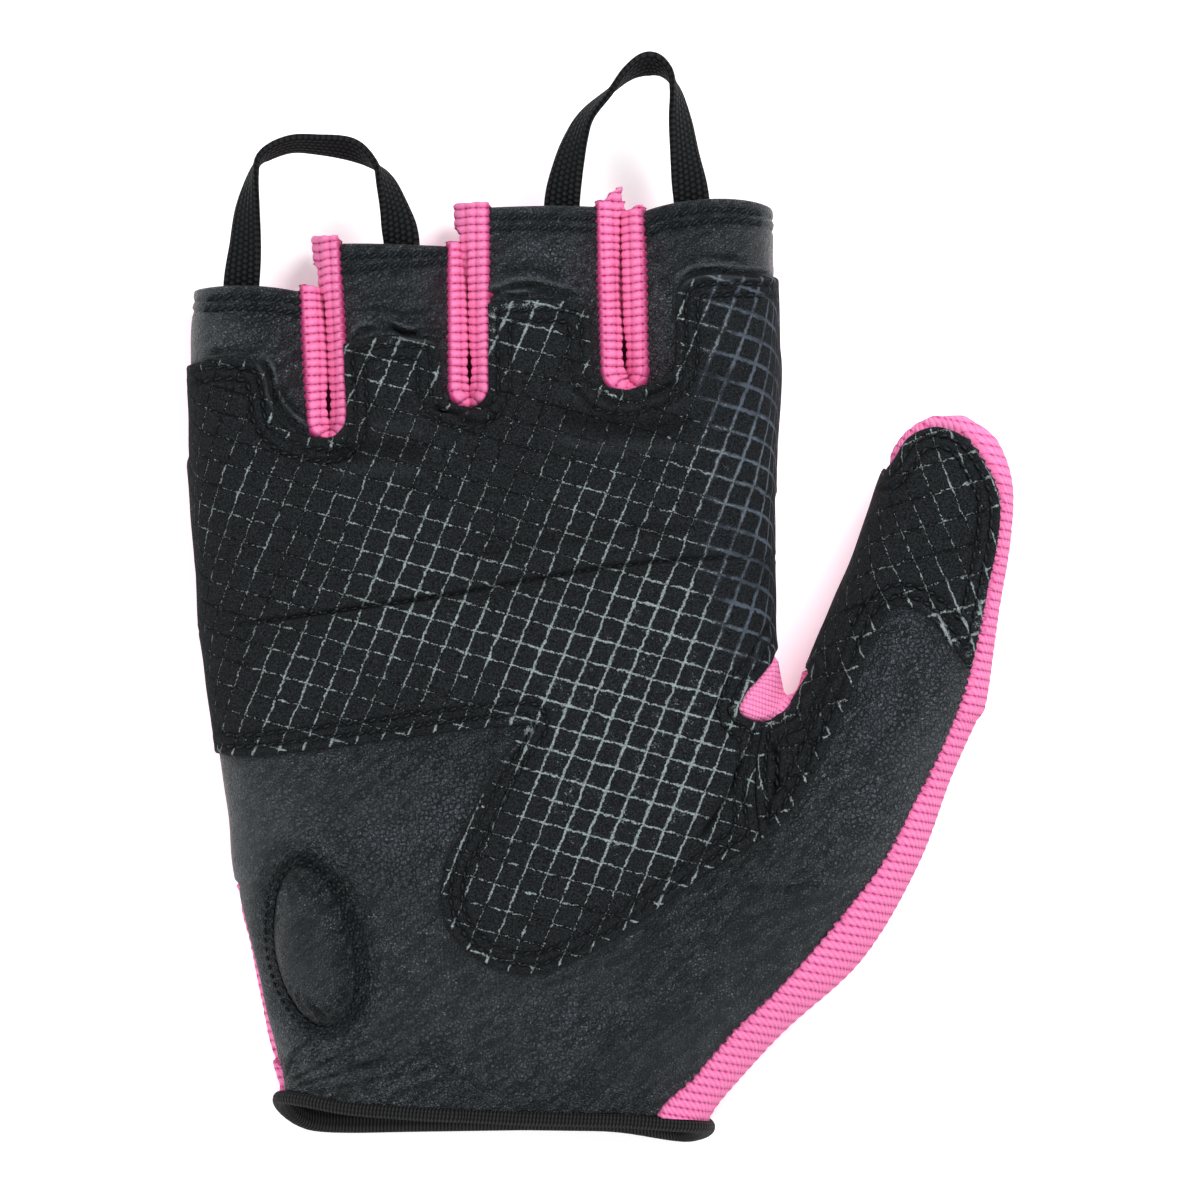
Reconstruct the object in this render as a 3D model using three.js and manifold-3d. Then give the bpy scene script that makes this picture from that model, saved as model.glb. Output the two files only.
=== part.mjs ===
// Fingerless sport glove for the right hand, lying on its back with the palm up.
// Millimetres. +X runs to the thumb's side, +Y to the fingertips, +Z out of the palm.
// The glove is a hollow shell of six joined tubes: the palm, four open fingers and a closed thumb.
// The shell is parted into leather, knit and gusset panels, and grip overlays lie on the leather.

import * as THREE from 'three';
import { mergeVertices } from 'three/addons/utils/BufferGeometryUtils.js';
import Module from 'manifold-3d';

const wasm = await Module();
wasm.setup();

// Driving dimensions
const WALL = 1.6;
const GAP = 0.3;
const SEAM_HEIGHT = 8.5;
const GUSSET_FOOT = 5;
const GRIP_PROUD = 0.75;
const GRIP_SUNK = 0.25;
const BINDING_PROUD = 0.4;
const WEBBING = { width: 6, thickness: 1.1 };
const PAD = { x: -47.8, y: -57.5, z: 20.2, long: 14.8, wide: 8, high: 3, turn: 12, slope: 16 };

// Well past the glove on every side, for cutting shapes
const BEYOND = 60;
const OPEN_REACH = 5;

// A section is a superellipse: its back is flatter than its front
const FRONT_ROUNDNESS = 2.5;
const BACK_ROUNDNESS = 3.2;

const COLOURS = {
  leather: { color: 0x393e41, roughness: 0.62, metalness: 0 },
  suede: { color: 0x2a2c2e, roughness: 0.95, metalness: 0 },
  knit: { color: 0xf7609f, roughness: 0.9, metalness: 0 },
  webbing: { color: 0x26282a, roughness: 0.85, metalness: 0 },
  binding: { color: 0x1f1b1a, roughness: 0.8, metalness: 0 }
};

// Each tube has a row for each section, from the wrist to the fingertips. The left and right
// columns are the section's two side edges as seen from the palm, top and bottom its heights.
const TUBES = {
  palm: {
    sides: 26,
    wrist: true,
    rows: [
      { leftX: -53.2, leftY: -81.3, rightX: 17.3, rightY: -86.7, top: 20, bottom: -0.6 },
      { leftX: -55.3, leftY: -71.3, rightX: 19.7, rightY: -74.2, top: 22, bottom: -0.6 },
      { leftX: -58.2, leftY: -57.5, rightX: 22.7, rightY: -60, top: 24, bottom: -0.6 },
      { leftX: -60.7, leftY: -46.7, rightX: 25, rightY: -46.7, top: 25.3, bottom: -0.6 },
      { leftX: -62.3, leftY: -33.3, rightX: 27, rightY: -33.3, top: 25.8, bottom: -0.6 },
      { leftX: -64.3, leftY: -18.7, rightX: 31.2, rightY: -18.7, top: 25.4, bottom: -0.6 },
      { leftX: -66, leftY: -5, rightX: 28.5, rightY: -5, top: 24.6, bottom: -0.6 },
      { leftX: -67.2, leftY: 10, rightX: 28.8, rightY: 9.2, top: 23.6, bottom: -0.6 },
      { leftX: -67.1, leftY: 22.5, rightX: 28.3, rightY: 38, top: 22.4, bottom: -0.6 }
    ]
  },
  little: {
    sides: 16,
    rows: [
      { leftX: -65.4, leftY: 8, rightX: -43, rightY: 11.7, top: 18.8, bottom: 0.8 },
      { leftX: -67.9, leftY: 23.3, rightX: -43.8, rightY: 26.2, top: 20.8, bottom: 0.4 },
      { leftX: -68.1, leftY: 33.3, rightX: -44.8, rightY: 33.3, top: 20.3, bottom: 0.6 },
      { leftX: -68.1, leftY: 42.5, rightX: -45.3, rightY: 42.5, top: 19.4, bottom: 1 },
      { leftX: -67.8, leftY: 51.5, rightX: -46.3, rightY: 52.3, top: 18.4, bottom: 1.5 }
    ]
  },
  ring: {
    sides: 16,
    rows: [
      { leftX: -46, leftY: 9.2, rightX: -20, rightY: 13.3, top: 21.6, bottom: 0.8 },
      { leftX: -45, leftY: 26.2, rightX: -21.2, rightY: 30.3, top: 22.8, bottom: 0.4 },
      { leftX: -44.8, leftY: 33.3, rightX: -21.7, rightY: 35.8, top: 22, bottom: 0.5 },
      { leftX: -45.5, leftY: 45, rightX: -21.9, rightY: 46.7, top: 20.8, bottom: 1 },
      { leftX: -46.7, leftY: 52.5, rightX: -22.2, rightY: 55, top: 19.6, bottom: 1.4 },
      { leftX: -47.5, leftY: 60.2, rightX: -22.4, rightY: 59.2, top: 19, bottom: 1.8 }
    ]
  },
  middle: {
    sides: 16,
    rows: [
      { leftX: -22.4, leftY: 12.5, rightX: 5.6, rightY: 16.7, top: 21.6, bottom: 0.8 },
      { leftX: -21.8, leftY: 30.3, rightX: 5.2, rightY: 33.3, top: 23, bottom: 0.4 },
      { leftX: -21.8, leftY: 36.7, rightX: 4.3, rightY: 38.3, top: 22.3, bottom: 0.5 },
      { leftX: -22.3, leftY: 50, rightX: 3.2, rightY: 50, top: 21, bottom: 1 },
      { leftX: -23.5, leftY: 59.2, rightX: 3.2, rightY: 60, top: 20.2, bottom: 1.5 },
      { leftX: -23.8, leftY: 65.3, rightX: 3.2, rightY: 67.2, top: 19.6, bottom: 2 }
    ]
  },
  index: {
    sides: 16,
    rows: [
      { leftX: 4, leftY: 15, rightX: 27.4, rightY: 19, top: 19, bottom: 0.8 },
      { leftX: 4.7, leftY: 33.3, rightX: 29.2, rightY: 33.3, top: 21.6, bottom: 0.4 },
      { leftX: 4, leftY: 40, rightX: 29.3, rightY: 42.5, top: 21.2, bottom: 0.6 },
      { leftX: 3.2, leftY: 50, rightX: 29.2, rightY: 52.5, top: 20.8, bottom: 1 },
      { leftX: 3.2, leftY: 57.5, rightX: 28.9, rightY: 59.2, top: 20.1, bottom: 1.5 },
      { leftX: 3.5, leftY: 64.2, rightX: 28.6, rightY: 65, top: 19.6, bottom: 2, lean: 0.13 }
    ]
  },
  thumb: {
    sides: 22,
    wrist: true,
    closedTip: true,
    rows: [
      { leftX: 1, leftY: -83, rightX: 17.6, rightY: -86.3, top: 17, bottom: 0.8 },
      { leftX: 0, leftY: -73.3, rightX: 30.2, rightY: -72.3, top: 21, bottom: 0.2 },
      { leftX: 6.7, leftY: -60, rightX: 43.5, rightY: -60, top: 23, bottom: 0.2 },
      { leftX: 15, leftY: -43.3, rightX: 52.8, rightY: -44.3, top: 24.5, bottom: 0.4 },
      { leftX: 23.3, leftY: -28.3, rightX: 58.3, rightY: -29.7, top: 24.8, bottom: 0.8 },
      { leftX: 29.5, leftY: -18, rightX: 62.4, rightY: -20.5, top: 24.5, bottom: 1.6 },
      { leftX: 32.8, leftY: -14.3, rightX: 64.2, rightY: -17, top: 24.2, bottom: 1.8 },
      { leftX: 39.1, leftY: 0, rightX: 66.3, rightY: -2, top: 23.4, bottom: 2.8 },
      { leftX: 42.8, leftY: 9, rightX: 68.2, rightY: 9.5, top: 22.8, bottom: 3.4 },
      { leftX: 46.5, leftY: 19.7, rightX: 68.6, rightY: 19.2, top: 21.8, bottom: 4.2 },
      { leftX: 49.5, leftY: 26.2, rightX: 66.3, rightY: 26.2, top: 19.2, bottom: 6 },
      { leftX: 53.7, leftY: 29.8, rightX: 61.7, rightY: 29.8, top: 15.8, bottom: 9.2 }
    ]
  }
};

// The leather panel's outline: past the silhouette where the leather wraps round the side,
// and inside it where the knit back shows beside the leather.
const LEATHER_EDGE = [
  { x: -80, y: 85 },
  { x: 36, y: 85 },
  { x: 31, y: -10 },
  { x: 44, y: 21 },
  { x: 47.2, y: 21.2 },
  { x: 51.3, y: 27.3 },
  { x: 55.8, y: 29 },
  { x: 60.7, y: 27.3 },
  { x: 63.8, y: 23 },
  { x: 66.1, y: 17.8 },
  { x: 66.1, y: 11.8 },
  { x: 62.1, y: -9.2 },
  { x: 54.9, y: -27.5 },
  { x: 48.7, y: -40.7 },
  { x: 41.8, y: -49.8 },
  { x: 32.5, y: -61 },
  { x: 17.3, y: -76.8 },
  { x: 9.9, y: -85.1 },
  { x: 9.2, y: -95 },
  { x: -52.7, y: -95 },
  { x: -52.7, y: -81.3 },
  { x: -55.7, y: -67.5 },
  { x: -59, y: -52.5 },
  { x: -62.5, y: -44.2 },
  { x: -80, y: -44.2 }
];

// Outline of the suede grip on the palm, with a tab up each finger
const PALM_GRIP_EDGE = [
  { x: -80, y: 39.4 },
  { x: -64, y: 40.2 },
  { x: -57.5, y: 39.6 },
  { x: -55, y: 37.4 },
  { x: -53, y: 29.4 },
  { x: -48, y: 26.6 },
  { x: -44.6, y: 27.4 },
  { x: -43.4, y: 42.4 },
  { x: -35.8, y: 43.2 },
  { x: -27.6, y: 42.4 },
  { x: -26.8, y: 33.6 },
  { x: -21.6, y: 33 },
  { x: -20.4, y: 49.4 },
  { x: -9, y: 49 },
  { x: -2.8, y: 46.8 },
  { x: -1.6, y: 42.5 },
  { x: -1.4, y: 35.4 },
  { x: 3.8, y: 33.6 },
  { x: 12.5, y: 35.3 },
  { x: 12.6, y: 52 },
  { x: 14.4, y: 53.3 },
  { x: 33, y: 53.2 },
  { x: 31, y: -8 },
  { x: 27.5, y: -12 },
  { x: 22.8, y: -18.4 },
  { x: 26.3, y: -20.6 },
  { x: 25.7, y: -25.3 },
  { x: 25.3, y: -31.8 },
  { x: 26, y: -39.4 },
  { x: 19.2, y: -44 },
  { x: 6.9, y: -52.3 },
  { x: -4.7, y: -60.2 },
  { x: -13.3, y: -61.8 },
  { x: -21.5, y: -58.5 },
  { x: -25.7, y: -50.5 },
  { x: -25.2, y: -42.7 },
  { x: -19.3, y: -31.8 },
  { x: -14.3, y: -25.3 },
  { x: -12.7, y: -19.3 },
  { x: -39.3, y: -23.5 },
  { x: -57.3, y: -25.7 },
  { x: -80, y: -25.3 }
];

// Outline of the suede grip round the thumb, down to the seam beside the palm's grip
const THUMB_GRIP_EDGE = [
  { x: 26.9, y: -20.8 },
  { x: 30, y: -18.8 },
  { x: 31.8, y: -17.2 },
  { x: 32.3, y: -12 },
  { x: 44, y: 21 },
  { x: 47.8, y: 21.4 },
  { x: 51.4, y: 26.8 },
  { x: 55.8, y: 28.4 },
  { x: 60.4, y: 26.8 },
  { x: 63.4, y: 22.6 },
  { x: 65.5, y: 17.6 },
  { x: 65.5, y: 11.8 },
  { x: 64.1, y: 3.5 },
  { x: 61.1, y: -10.4 },
  { x: 56.7, y: -5.7 },
  { x: 52.3, y: -1.8 },
  { x: 49.5, y: -1.2 },
  { x: 46.6, y: -3.2 },
  { x: 41.5, y: -15.5 },
  { x: 34, y: -30.8 },
  { x: 31.4, y: -36 },
  { x: 26.5, y: -39.2 },
  { x: 25.9, y: -31.8 },
  { x: 26.3, y: -25.3 }
];

// Outline of the knit gusset between the index finger and the thumb
const THUMB_GUSSET_EDGE = [
  { x: 31.2, y: -6 },
  { x: 33.4, y: -14.4 },
  { x: 31.8, y: -16.9 },
  { x: 30, y: -18.5 },
  { x: 26.7, y: -20.4 },
  { x: 23, y: -18.2 },
  { x: 27.5, y: -11.8 },
  { x: 30, y: -8 }
];

// Knit strips between the fingers show in slots with a round foot
const FINGER_SLOTS = {
  little_ring: { headX: -46.2, headY: 66, footX: -44.9, footY: 29.7, radius: 3.35 },
  ring_middle: { headX: -21.9, headY: 72, footX: -21.6, footY: 35.3, radius: 3.35 },
  middle_index: { headX: 3.2, headY: 72, footX: 3.8, footY: 38, radius: 3.75 }
};

// Pull loops of webbing: turn is how far the tape's width stands up out of the palm's plane
const LOOPS = {
  little_ring: [
    { x: -59.7, y: 47, z: 15.3, turn: 0 },
    { x: -59.6, y: 52.3, z: 15.2, turn: 0 },
    { x: -59, y: 58.5, z: 15.2, turn: 24 },
    { x: -58.5, y: 65.5, z: 15.4, turn: 50 },
    { x: -57.2, y: 71.9, z: 15.7, turn: 84 },
    { x: -55.2, y: 74.2, z: 15.8, turn: 104 },
    { x: -51.3, y: 75.7, z: 16, turn: 111 },
    { x: -46.8, y: 75.6, z: 16.2, turn: 116 },
    { x: -41.3, y: 74.8, z: 16.4, turn: 122 },
    { x: -37.7, y: 72.5, z: 16.5, turn: 98 },
    { x: -35.8, y: 69.8, z: 16.4, turn: 66 },
    { x: -34.2, y: 65.2, z: 16.2, turn: 40 },
    { x: -33, y: 59.8, z: 16.1, turn: 0 },
    { x: -32.9, y: 54.5, z: 16.1, turn: 0 }
  ],
  middle_index: [
    { x: -6.3, y: 61, z: 16.3, turn: 0 },
    { x: -6.3, y: 66, z: 16.1, turn: 8 },
    { x: -5.5, y: 71, z: 16.2, turn: 27 },
    { x: -4.1, y: 76.3, z: 16.4, turn: 50 },
    { x: -2.2, y: 80.4, z: 16.6, turn: 68 },
    { x: 1.4, y: 84.1, z: 16.8, turn: 84 },
    { x: 4.8, y: 87.5, z: 17, turn: 106 },
    { x: 8.2, y: 89, z: 17, turn: 124 },
    { x: 11, y: 87.7, z: 17, turn: 104 },
    { x: 12.5, y: 84.6, z: 17, turn: 78 },
    { x: 13.3, y: 79.7, z: 16.9, turn: 54 },
    { x: 14.1, y: 73.7, z: 16.7, turn: 36 },
    { x: 15.2, y: 66.2, z: 16.6, turn: 0 },
    { x: 15.3, y: 61, z: 16.7, turn: 0 }
  ]
};

// The wrist binding lies between two sections just below the shell's edge
const BINDING_ROWS = [
  { leftX: -53.3, leftY: -81.6, rightX: 17.2, rightY: -87, top: 20, bottom: -0.2 },
  { leftX: -53.5, leftY: -84, rightX: 16.4, rightY: -89.8, top: 19.8, bottom: -0.2 }
];

// The wrist edge bows down in its middle, and the back reaches lower than the palm
const WRIST_BOW = -1.7;
const WRIST_LEAN = 0.06;

function sectionDirection(row) {
  const across = new THREE.Vector2(row.rightX - row.leftX, row.rightY - row.leftY).normalize();
  return { across, along: new THREE.Vector2(-across.y, across.x) };
}

// One closed ring of points round a section, grown by offset and moved by reach along the tube.
// The back is flattened where it lies on the surface under the glove.
function sectionRing(row, offset, reach, sides) {
  const { across, along } = sectionDirection(row);
  const halfWidth = Math.hypot(row.rightX - row.leftX, row.rightY - row.leftY) / 2 + offset;
  const halfHeight = (row.top - row.bottom) / 2 + offset;
  const middleX = (row.leftX + row.rightX) / 2;
  const middleY = (row.leftY + row.rightY) / 2;
  const middleZ = (row.top + row.bottom) / 2;
  const points = [];
  for (let side = 0; side < sides; side += 1) {
    const angle = (side / sides) * Math.PI * 2;
    const power = 2 / (Math.sin(angle) < 0 ? BACK_ROUNDNESS : FRONT_ROUNDNESS);
    const u = Math.sign(Math.cos(angle)) * Math.abs(Math.cos(angle)) ** power;
    const v = Math.sign(Math.sin(angle)) * Math.abs(Math.sin(angle)) ** power;
    const z = Math.max(middleZ + halfHeight * v, 0, -offset);
    const shift = reach + (row.bow ?? 0) * (1 - u * u) + (row.lean ?? 0) * (z - middleZ);
    points.push(new THREE.Vector3(
      middleX + across.x * halfWidth * u + along.x * shift,
      middleY + across.y * halfWidth * u + along.y * shift,
      z
    ));
  }
  return points;
}

// A closed mesh through rings of points, with a flat fan over each end
function loftRings(rings) {
  const sides = rings[0].length;
  const vertices = rings.flat();
  const triangles = [];
  for (let ring = 0; ring + 1 < rings.length; ring += 1) {
    for (let side = 0; side < sides; side += 1) {
      const a = ring * sides + side;
      const b = ring * sides + ((side + 1) % sides);
      triangles.push(a, b + sides, b, a, a + sides, b + sides);
    }
  }
  const ends = [[0, true], [(rings.length - 1) * sides, false]];
  for (const [first, facesBack] of ends) {
    const centre = new THREE.Vector3();
    for (let side = 0; side < sides; side += 1) {
      centre.addScaledVector(vertices[first + side], 1 / sides);
    }
    const hub = vertices.push(centre) - 1;
    for (let side = 0; side < sides; side += 1) {
      const a = first + side;
      const b = first + ((side + 1) % sides);
      triangles.push(hub, facesBack ? a : b, facesBack ? b : a);
    }
  }
  const geometry = new THREE.BufferGeometry().setFromPoints(vertices);
  geometry.setIndex(triangles);
  return geometry;
}

// A closed mesh as a solid that can be joined and cut
function toSolid(geometry) {
  const bare = geometry.clone();
  bare.deleteAttribute('normal');
  bare.deleteAttribute('uv');
  const merged = mergeVertices(bare, 1e-4);
  const solid = new wasm.Manifold(new wasm.Mesh({
    numProp: 3,
    vertProperties: new Float32Array(merged.attributes.position.array),
    triVerts: new Uint32Array(merged.index.array)
  }));
  return solid;
}

function namedMesh(name, solid, look) {
  const { vertProperties, triVerts } = solid.getMesh();
  const geometry = new THREE.BufferGeometry();
  geometry.setAttribute('position', new THREE.BufferAttribute(new Float32Array(vertProperties), 3));
  geometry.setIndex(Array.from(triVerts));
  geometry.computeVertexNormals();
  const mesh = new THREE.Mesh(geometry, new THREE.MeshStandardMaterial(look));
  mesh.name = name;
  return mesh;
}

// One tube grown by offset. A tube shrunk for the hollow runs past the open ends.
function tubeSolid(tube, offset) {
  const hollow = offset < 0;
  const last = tube.rows.length - 1;
  const startReach = hollow && tube.wrist ? -OPEN_REACH : 0;
  const endsInside = tube.closedTip || tube === TUBES.palm;
  const openReach = hollow ? OPEN_REACH : 0;
  const endReach = endsInside ? offset : openReach;
  const rings = tube.rows.map((row, index) => {
    const reach = (index === 0 ? startReach : 0) + (index === last ? endReach : 0);
    const atWrist = index === 0 && tube === TUBES.palm;
    const shaped = atWrist ? { ...row, bow: WRIST_BOW, lean: WRIST_LEAN } : row;
    return sectionRing(shaped, offset, reach, tube.sides);
  });
  return toSolid(loftRings(rings));
}

// The glove's skin grown by offset, as one solid
function gloveSkin(offset) {
  const tubes = Object.values(TUBES).map((tube) => tubeSolid(tube, offset));
  return tubes.reduce((whole, tube) => whole.add(tube));
}

// An outline moved outwards by distance, for the gap between two panels
function growOutline(edge, distance) {
  const points = edge.map(({ x, y }) => new THREE.Vector2(x, y));
  const turnsLeft = THREE.ShapeUtils.area(points) > 0;
  return points.map((point, index) => {
    const before = points[(index + points.length - 1) % points.length];
    const after = points[(index + 1) % points.length];
    const into = point.clone().sub(before).normalize();
    const out = after.clone().sub(point).normalize();
    const normal = into.add(out).normalize();
    const share = Math.max(0.5, Math.abs(normal.dot(out)));
    const outward = turnsLeft ? new THREE.Vector2(normal.y, -normal.x) : new THREE.Vector2(-normal.y, normal.x);
    return point.clone().addScaledVector(outward, distance / share);
  });
}

function prism(points, foot) {
  const geometry = new THREE.ExtrudeGeometry(new THREE.Shape(points), { depth: BEYOND, bevelEnabled: false });
  geometry.translate(0, 0, foot);
  return toSolid(geometry);
}

// A slot between two fingers: straight sides and a round foot
function slotPrism(slot, growth, foot) {
  const radius = slot.radius + growth;
  const lean = Math.atan2(slot.headY - slot.footY, slot.headX - slot.footX);
  const shape = new THREE.Shape();
  shape.absarc(slot.headX, slot.headY, radius, lean - Math.PI / 2, lean + Math.PI / 2, false);
  shape.absarc(slot.footX, slot.footY, radius, lean + Math.PI / 2, lean + Math.PI * 1.5, false);
  return prism(shape.getPoints(6), foot);
}

// A flat tape swept along a loop's rows, its width turned out of the palm's plane
function webbingLoop(rows) {
  const path = new THREE.CatmullRomCurve3(rows.map(({ x, y, z }) => new THREE.Vector3(x, y, z)));
  const steps = (rows.length - 1) * 2;
  const up = new THREE.Vector3(0, 0, 1);
  const rings = [];
  for (let step = 0; step <= steps; step += 1) {
    const place = (step / steps) * (rows.length - 1);
    const row = Math.min(Math.floor(place), rows.length - 2);
    const turn = THREE.MathUtils.lerp(rows[row].turn, rows[row + 1].turn, place - row);
    const along = path.getTangent(step / steps);
    const beside = up.clone().cross(along).normalize();
    const across = beside.applyAxisAngle(along, -THREE.MathUtils.degToRad(turn));
    const through = along.clone().cross(across);
    const centre = path.getPoint(step / steps);
    const corners = [[1, 1], [-1, 1], [-1, -1], [1, -1]];
    rings.push(corners.map(([wide, thick]) => centre.clone()
      .addScaledVector(across, (wide * WEBBING.width) / 2)
      .addScaledVector(through, (thick * WEBBING.thickness) / 2)));
  }
  return toSolid(loftRings(rings.reverse()));
}

// The dome of the heel pad, tilted with the slope of the palm below it
function padDome() {
  const geometry = new THREE.SphereGeometry(1, 20, 12);
  geometry.scale(PAD.wide, PAD.long, PAD.high);
  geometry.rotateZ(THREE.MathUtils.degToRad(PAD.turn));
  geometry.rotateY(-THREE.MathUtils.degToRad(PAD.slope));
  geometry.translate(PAD.x, PAD.y, PAD.z);
  return toSolid(geometry);
}

function wristBinding() {
  const band = (offset, reach) => toSolid(loftRings(BINDING_ROWS.map((row, index) => {
    const shaped = { ...row, bow: WRIST_BOW, lean: WRIST_LEAN };
    return sectionRing(shaped, offset, index === 0 ? reach : -reach, TUBES.palm.sides);
  }).reverse()));
  return band(BINDING_PROUD, 0).subtract(band(-WALL - BINDING_PROUD, OPEN_REACH));
}

// The parting solids that the panels are cut with
const outer = gloveSkin(0);
const shell = outer.subtract(gloveSkin(-WALL));
const slots = Object.values(FINGER_SLOTS);
const joinAll = (solids) => solids.reduce((whole, solid) => whole.add(solid));
const gussetPrism = (growth) => prism(growOutline(THUMB_GUSSET_EDGE, growth), GUSSET_FOOT - growth);
const slotPrisms = (growth) => joinAll(slots.map((slot) => slotPrism(slot, growth, GUSSET_FOOT - growth)));
const knitWindows = slotPrisms(GAP / 2).add(gussetPrism(GAP / 2));

// Suede grips lie in a shallow step of the leather
const gripLayer = gloveSkin(GRIP_PROUD).subtract(gloveSkin(-GRIP_SUNK));
const gripStepFloor = gloveSkin(-GRIP_SUNK - GAP / 2);
const palmGripPrism = (growth) => prism(growOutline(PALM_GRIP_EDGE, growth), SEAM_HEIGHT + GAP - growth);
const thumbGripPrism = (growth) => prism(growOutline(THUMB_GRIP_EDGE, growth), SEAM_HEIGHT + GAP - growth);
const gripStep = palmGripPrism(GAP).add(thumbGripPrism(GAP)).subtract(gripStepFloor);

const leatherPrism = prism(growOutline(LEATHER_EDGE, -GAP / 2), SEAM_HEIGHT);
const leather = shell.intersect(leatherPrism).subtract(knitWindows).subtract(gripStep);
const knitBack = shell
  .subtract(prism(growOutline(LEATHER_EDGE, GAP / 2), SEAM_HEIGHT - GAP))
  .subtract(knitWindows);

const glove = new THREE.Group();
glove.add(namedMesh('palm_leather', leather, COLOURS.leather));
glove.add(namedMesh('back_knit', knitBack, COLOURS.knit));
for (const [place, slot] of Object.entries(FINGER_SLOTS)) {
  const strip = shell.intersect(slotPrism(slot, -GAP / 2, GUSSET_FOOT));
  glove.add(namedMesh(`fourchette_${place}`, strip, COLOURS.knit));
}
glove.add(namedMesh('thumb_gusset', shell.intersect(gussetPrism(-GAP / 2)), COLOURS.knit));
const palmGrip = gripLayer.intersect(palmGripPrism(0)).subtract(slotPrisms(GAP)).subtract(gussetPrism(GAP));
glove.add(namedMesh('grip_palm', palmGrip, COLOURS.suede));
const thumbGrip = gripLayer.intersect(thumbGripPrism(0)).subtract(gussetPrism(GAP));
glove.add(namedMesh('grip_thumb', thumbGrip, COLOURS.suede));
glove.add(namedMesh('heel_pad', padDome().subtract(gloveSkin(GAP)), COLOURS.leather));
for (const [place, rows] of Object.entries(LOOPS)) {
  glove.add(namedMesh(`loop_${place}`, webbingLoop(rows), COLOURS.webbing));
}
glove.add(namedMesh('wrist_binding', wristBinding(), COLOURS.binding));

export default glove;
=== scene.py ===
"""Looks of a fingerless sport glove for the right hand, lying on its back with the palm up.

The glove's skin is one smooth surface round six tubes: the palm, four fingers and the thumb.
Every panel is a stretch of that skin with its own thickness, edges and finish.
Lengths in the tables are in millimetres, in the CAD model's frame.
"""

import math

import bpy
import numpy as np
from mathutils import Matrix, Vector


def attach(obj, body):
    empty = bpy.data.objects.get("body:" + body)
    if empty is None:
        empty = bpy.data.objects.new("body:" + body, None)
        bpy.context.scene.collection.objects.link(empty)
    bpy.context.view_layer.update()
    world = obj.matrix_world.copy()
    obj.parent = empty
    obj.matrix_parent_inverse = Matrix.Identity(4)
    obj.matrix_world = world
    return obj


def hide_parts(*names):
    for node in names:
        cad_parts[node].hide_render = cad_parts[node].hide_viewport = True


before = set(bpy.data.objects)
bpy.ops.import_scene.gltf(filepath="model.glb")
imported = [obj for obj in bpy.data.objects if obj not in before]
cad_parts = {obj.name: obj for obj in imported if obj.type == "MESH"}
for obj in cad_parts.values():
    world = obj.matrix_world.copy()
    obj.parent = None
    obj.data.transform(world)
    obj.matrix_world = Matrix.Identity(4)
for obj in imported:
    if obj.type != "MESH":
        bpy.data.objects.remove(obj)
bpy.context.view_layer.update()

# A millimetre in metres, and the step of the grid that the skin is worked out on, in millimetres
MM = 0.001
VOXEL = 0.55

# The tilt of the stitches is drawn from this
RNG = np.random.default_rng(41)

# Corners of the box that the skin's grid fills
GRID_LOW = (-72.0, -94.0, -2.2)
GRID_HIGH = (72.0, 72.0, 29.0)

# The fingers lie past this place along the glove, and the palm's side over this height
FINGER_START = 40
PALM_SIDE = 8

# Share taken out of the points that never show
THINNING = 0.9

# Points worked out for each row of an outline, a tube and a fold
OUTLINE_STEPS = 8
TUBE_STEPS = 6
LINE_STEPS = 4

# Section shape of every tube: a superellipse whose back is flatter than its front
FRONT_ROUNDNESS = 2.5
BACK_ROUNDNESS = 3.2

# Height of the seam between leather and knit, and how far the knit reaches under the leather
SEAM_HEIGHT = 8.5
TUCK = 1.0

# Wall thicknesses, and how far the suede stands off the skin
LEATHER_WALL = 1.2
KNIT_WALL = 1.1
GRIP_PROUD = 0.72

# Pitch of the knit's ribs, of the strips' beads, and of the strips' columns
KNIT_RIB = 1.5
STRIP_BEAD = 1.38
STRIP_COLUMN = 1.65

# Rounded edges of the leather, the suede and the heel pad
LEATHER_EDGE = 0.45
SUEDE_EDGE = 0.5
PAD_EDGE = 0.3

# Heights of the hem, the back's ribs, the strips' beads and columns, and the heel pad and its puckers
HEM_HEIGHT = 0.18
RIB_HEIGHT = 0.16
BEAD_HEIGHT = 0.42
COLUMN_HEIGHT = 0.2
PAD_HEIGHT = 2.2
PUCKER_HEIGHT = 0.24

# Depths of the grooves under stitches, the ditch round the pad, a strip's slit and the hole at its foot
HEM_GROOVE = 0.38
SUEDE_GROOVE = 0.4
PAD_GROOVE = 0.3
PAD_DITCH = 0.35
SLIT_DEPTH = 0.9
HOLE_DEPTH = 1.6

# Swells of the whole skin, some 20 and some 8 millimetres across
SWELL_BROAD = 0.17
SWELL_SMALL = 0.09

# Half-width of every groove under stitches
GROOVE_HALF = 0.5

# Rows of stitches in from the fingers' open ends and from the suede's edges
HEM_ROWS = (2.0, 3.8)
SUEDE_ROWS = (1.6, 3.5)

# Stitches: pitch, length, thread radius, tilt in degrees and height over the skin
HEM_STITCH = (1.6, 1.85, 0.34, 27, 0.05)
SUEDE_STITCH = (1.9, 1.6, 0.26, 12, GRIP_PROUD - 0.12)
QUILT_STITCH = (1.7, 1.4, 0.18, 6, GRIP_PROUD - 0.35)
PAD_STITCH = (1.5, 1.2, 0.3, 12, 0.27)

# Extra edges in a panel's mesh, at these distances inside its outline
LEATHER_RINGS = (0.12, 0.4)
GRIP_RINGS = (0.15, 0.45, 1.2, 1.6, 2.0, 3.1, 3.5, 3.9)
PAD_RINGS = (0.1, 0.35, 1.0, 1.6, 2.0)

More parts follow.
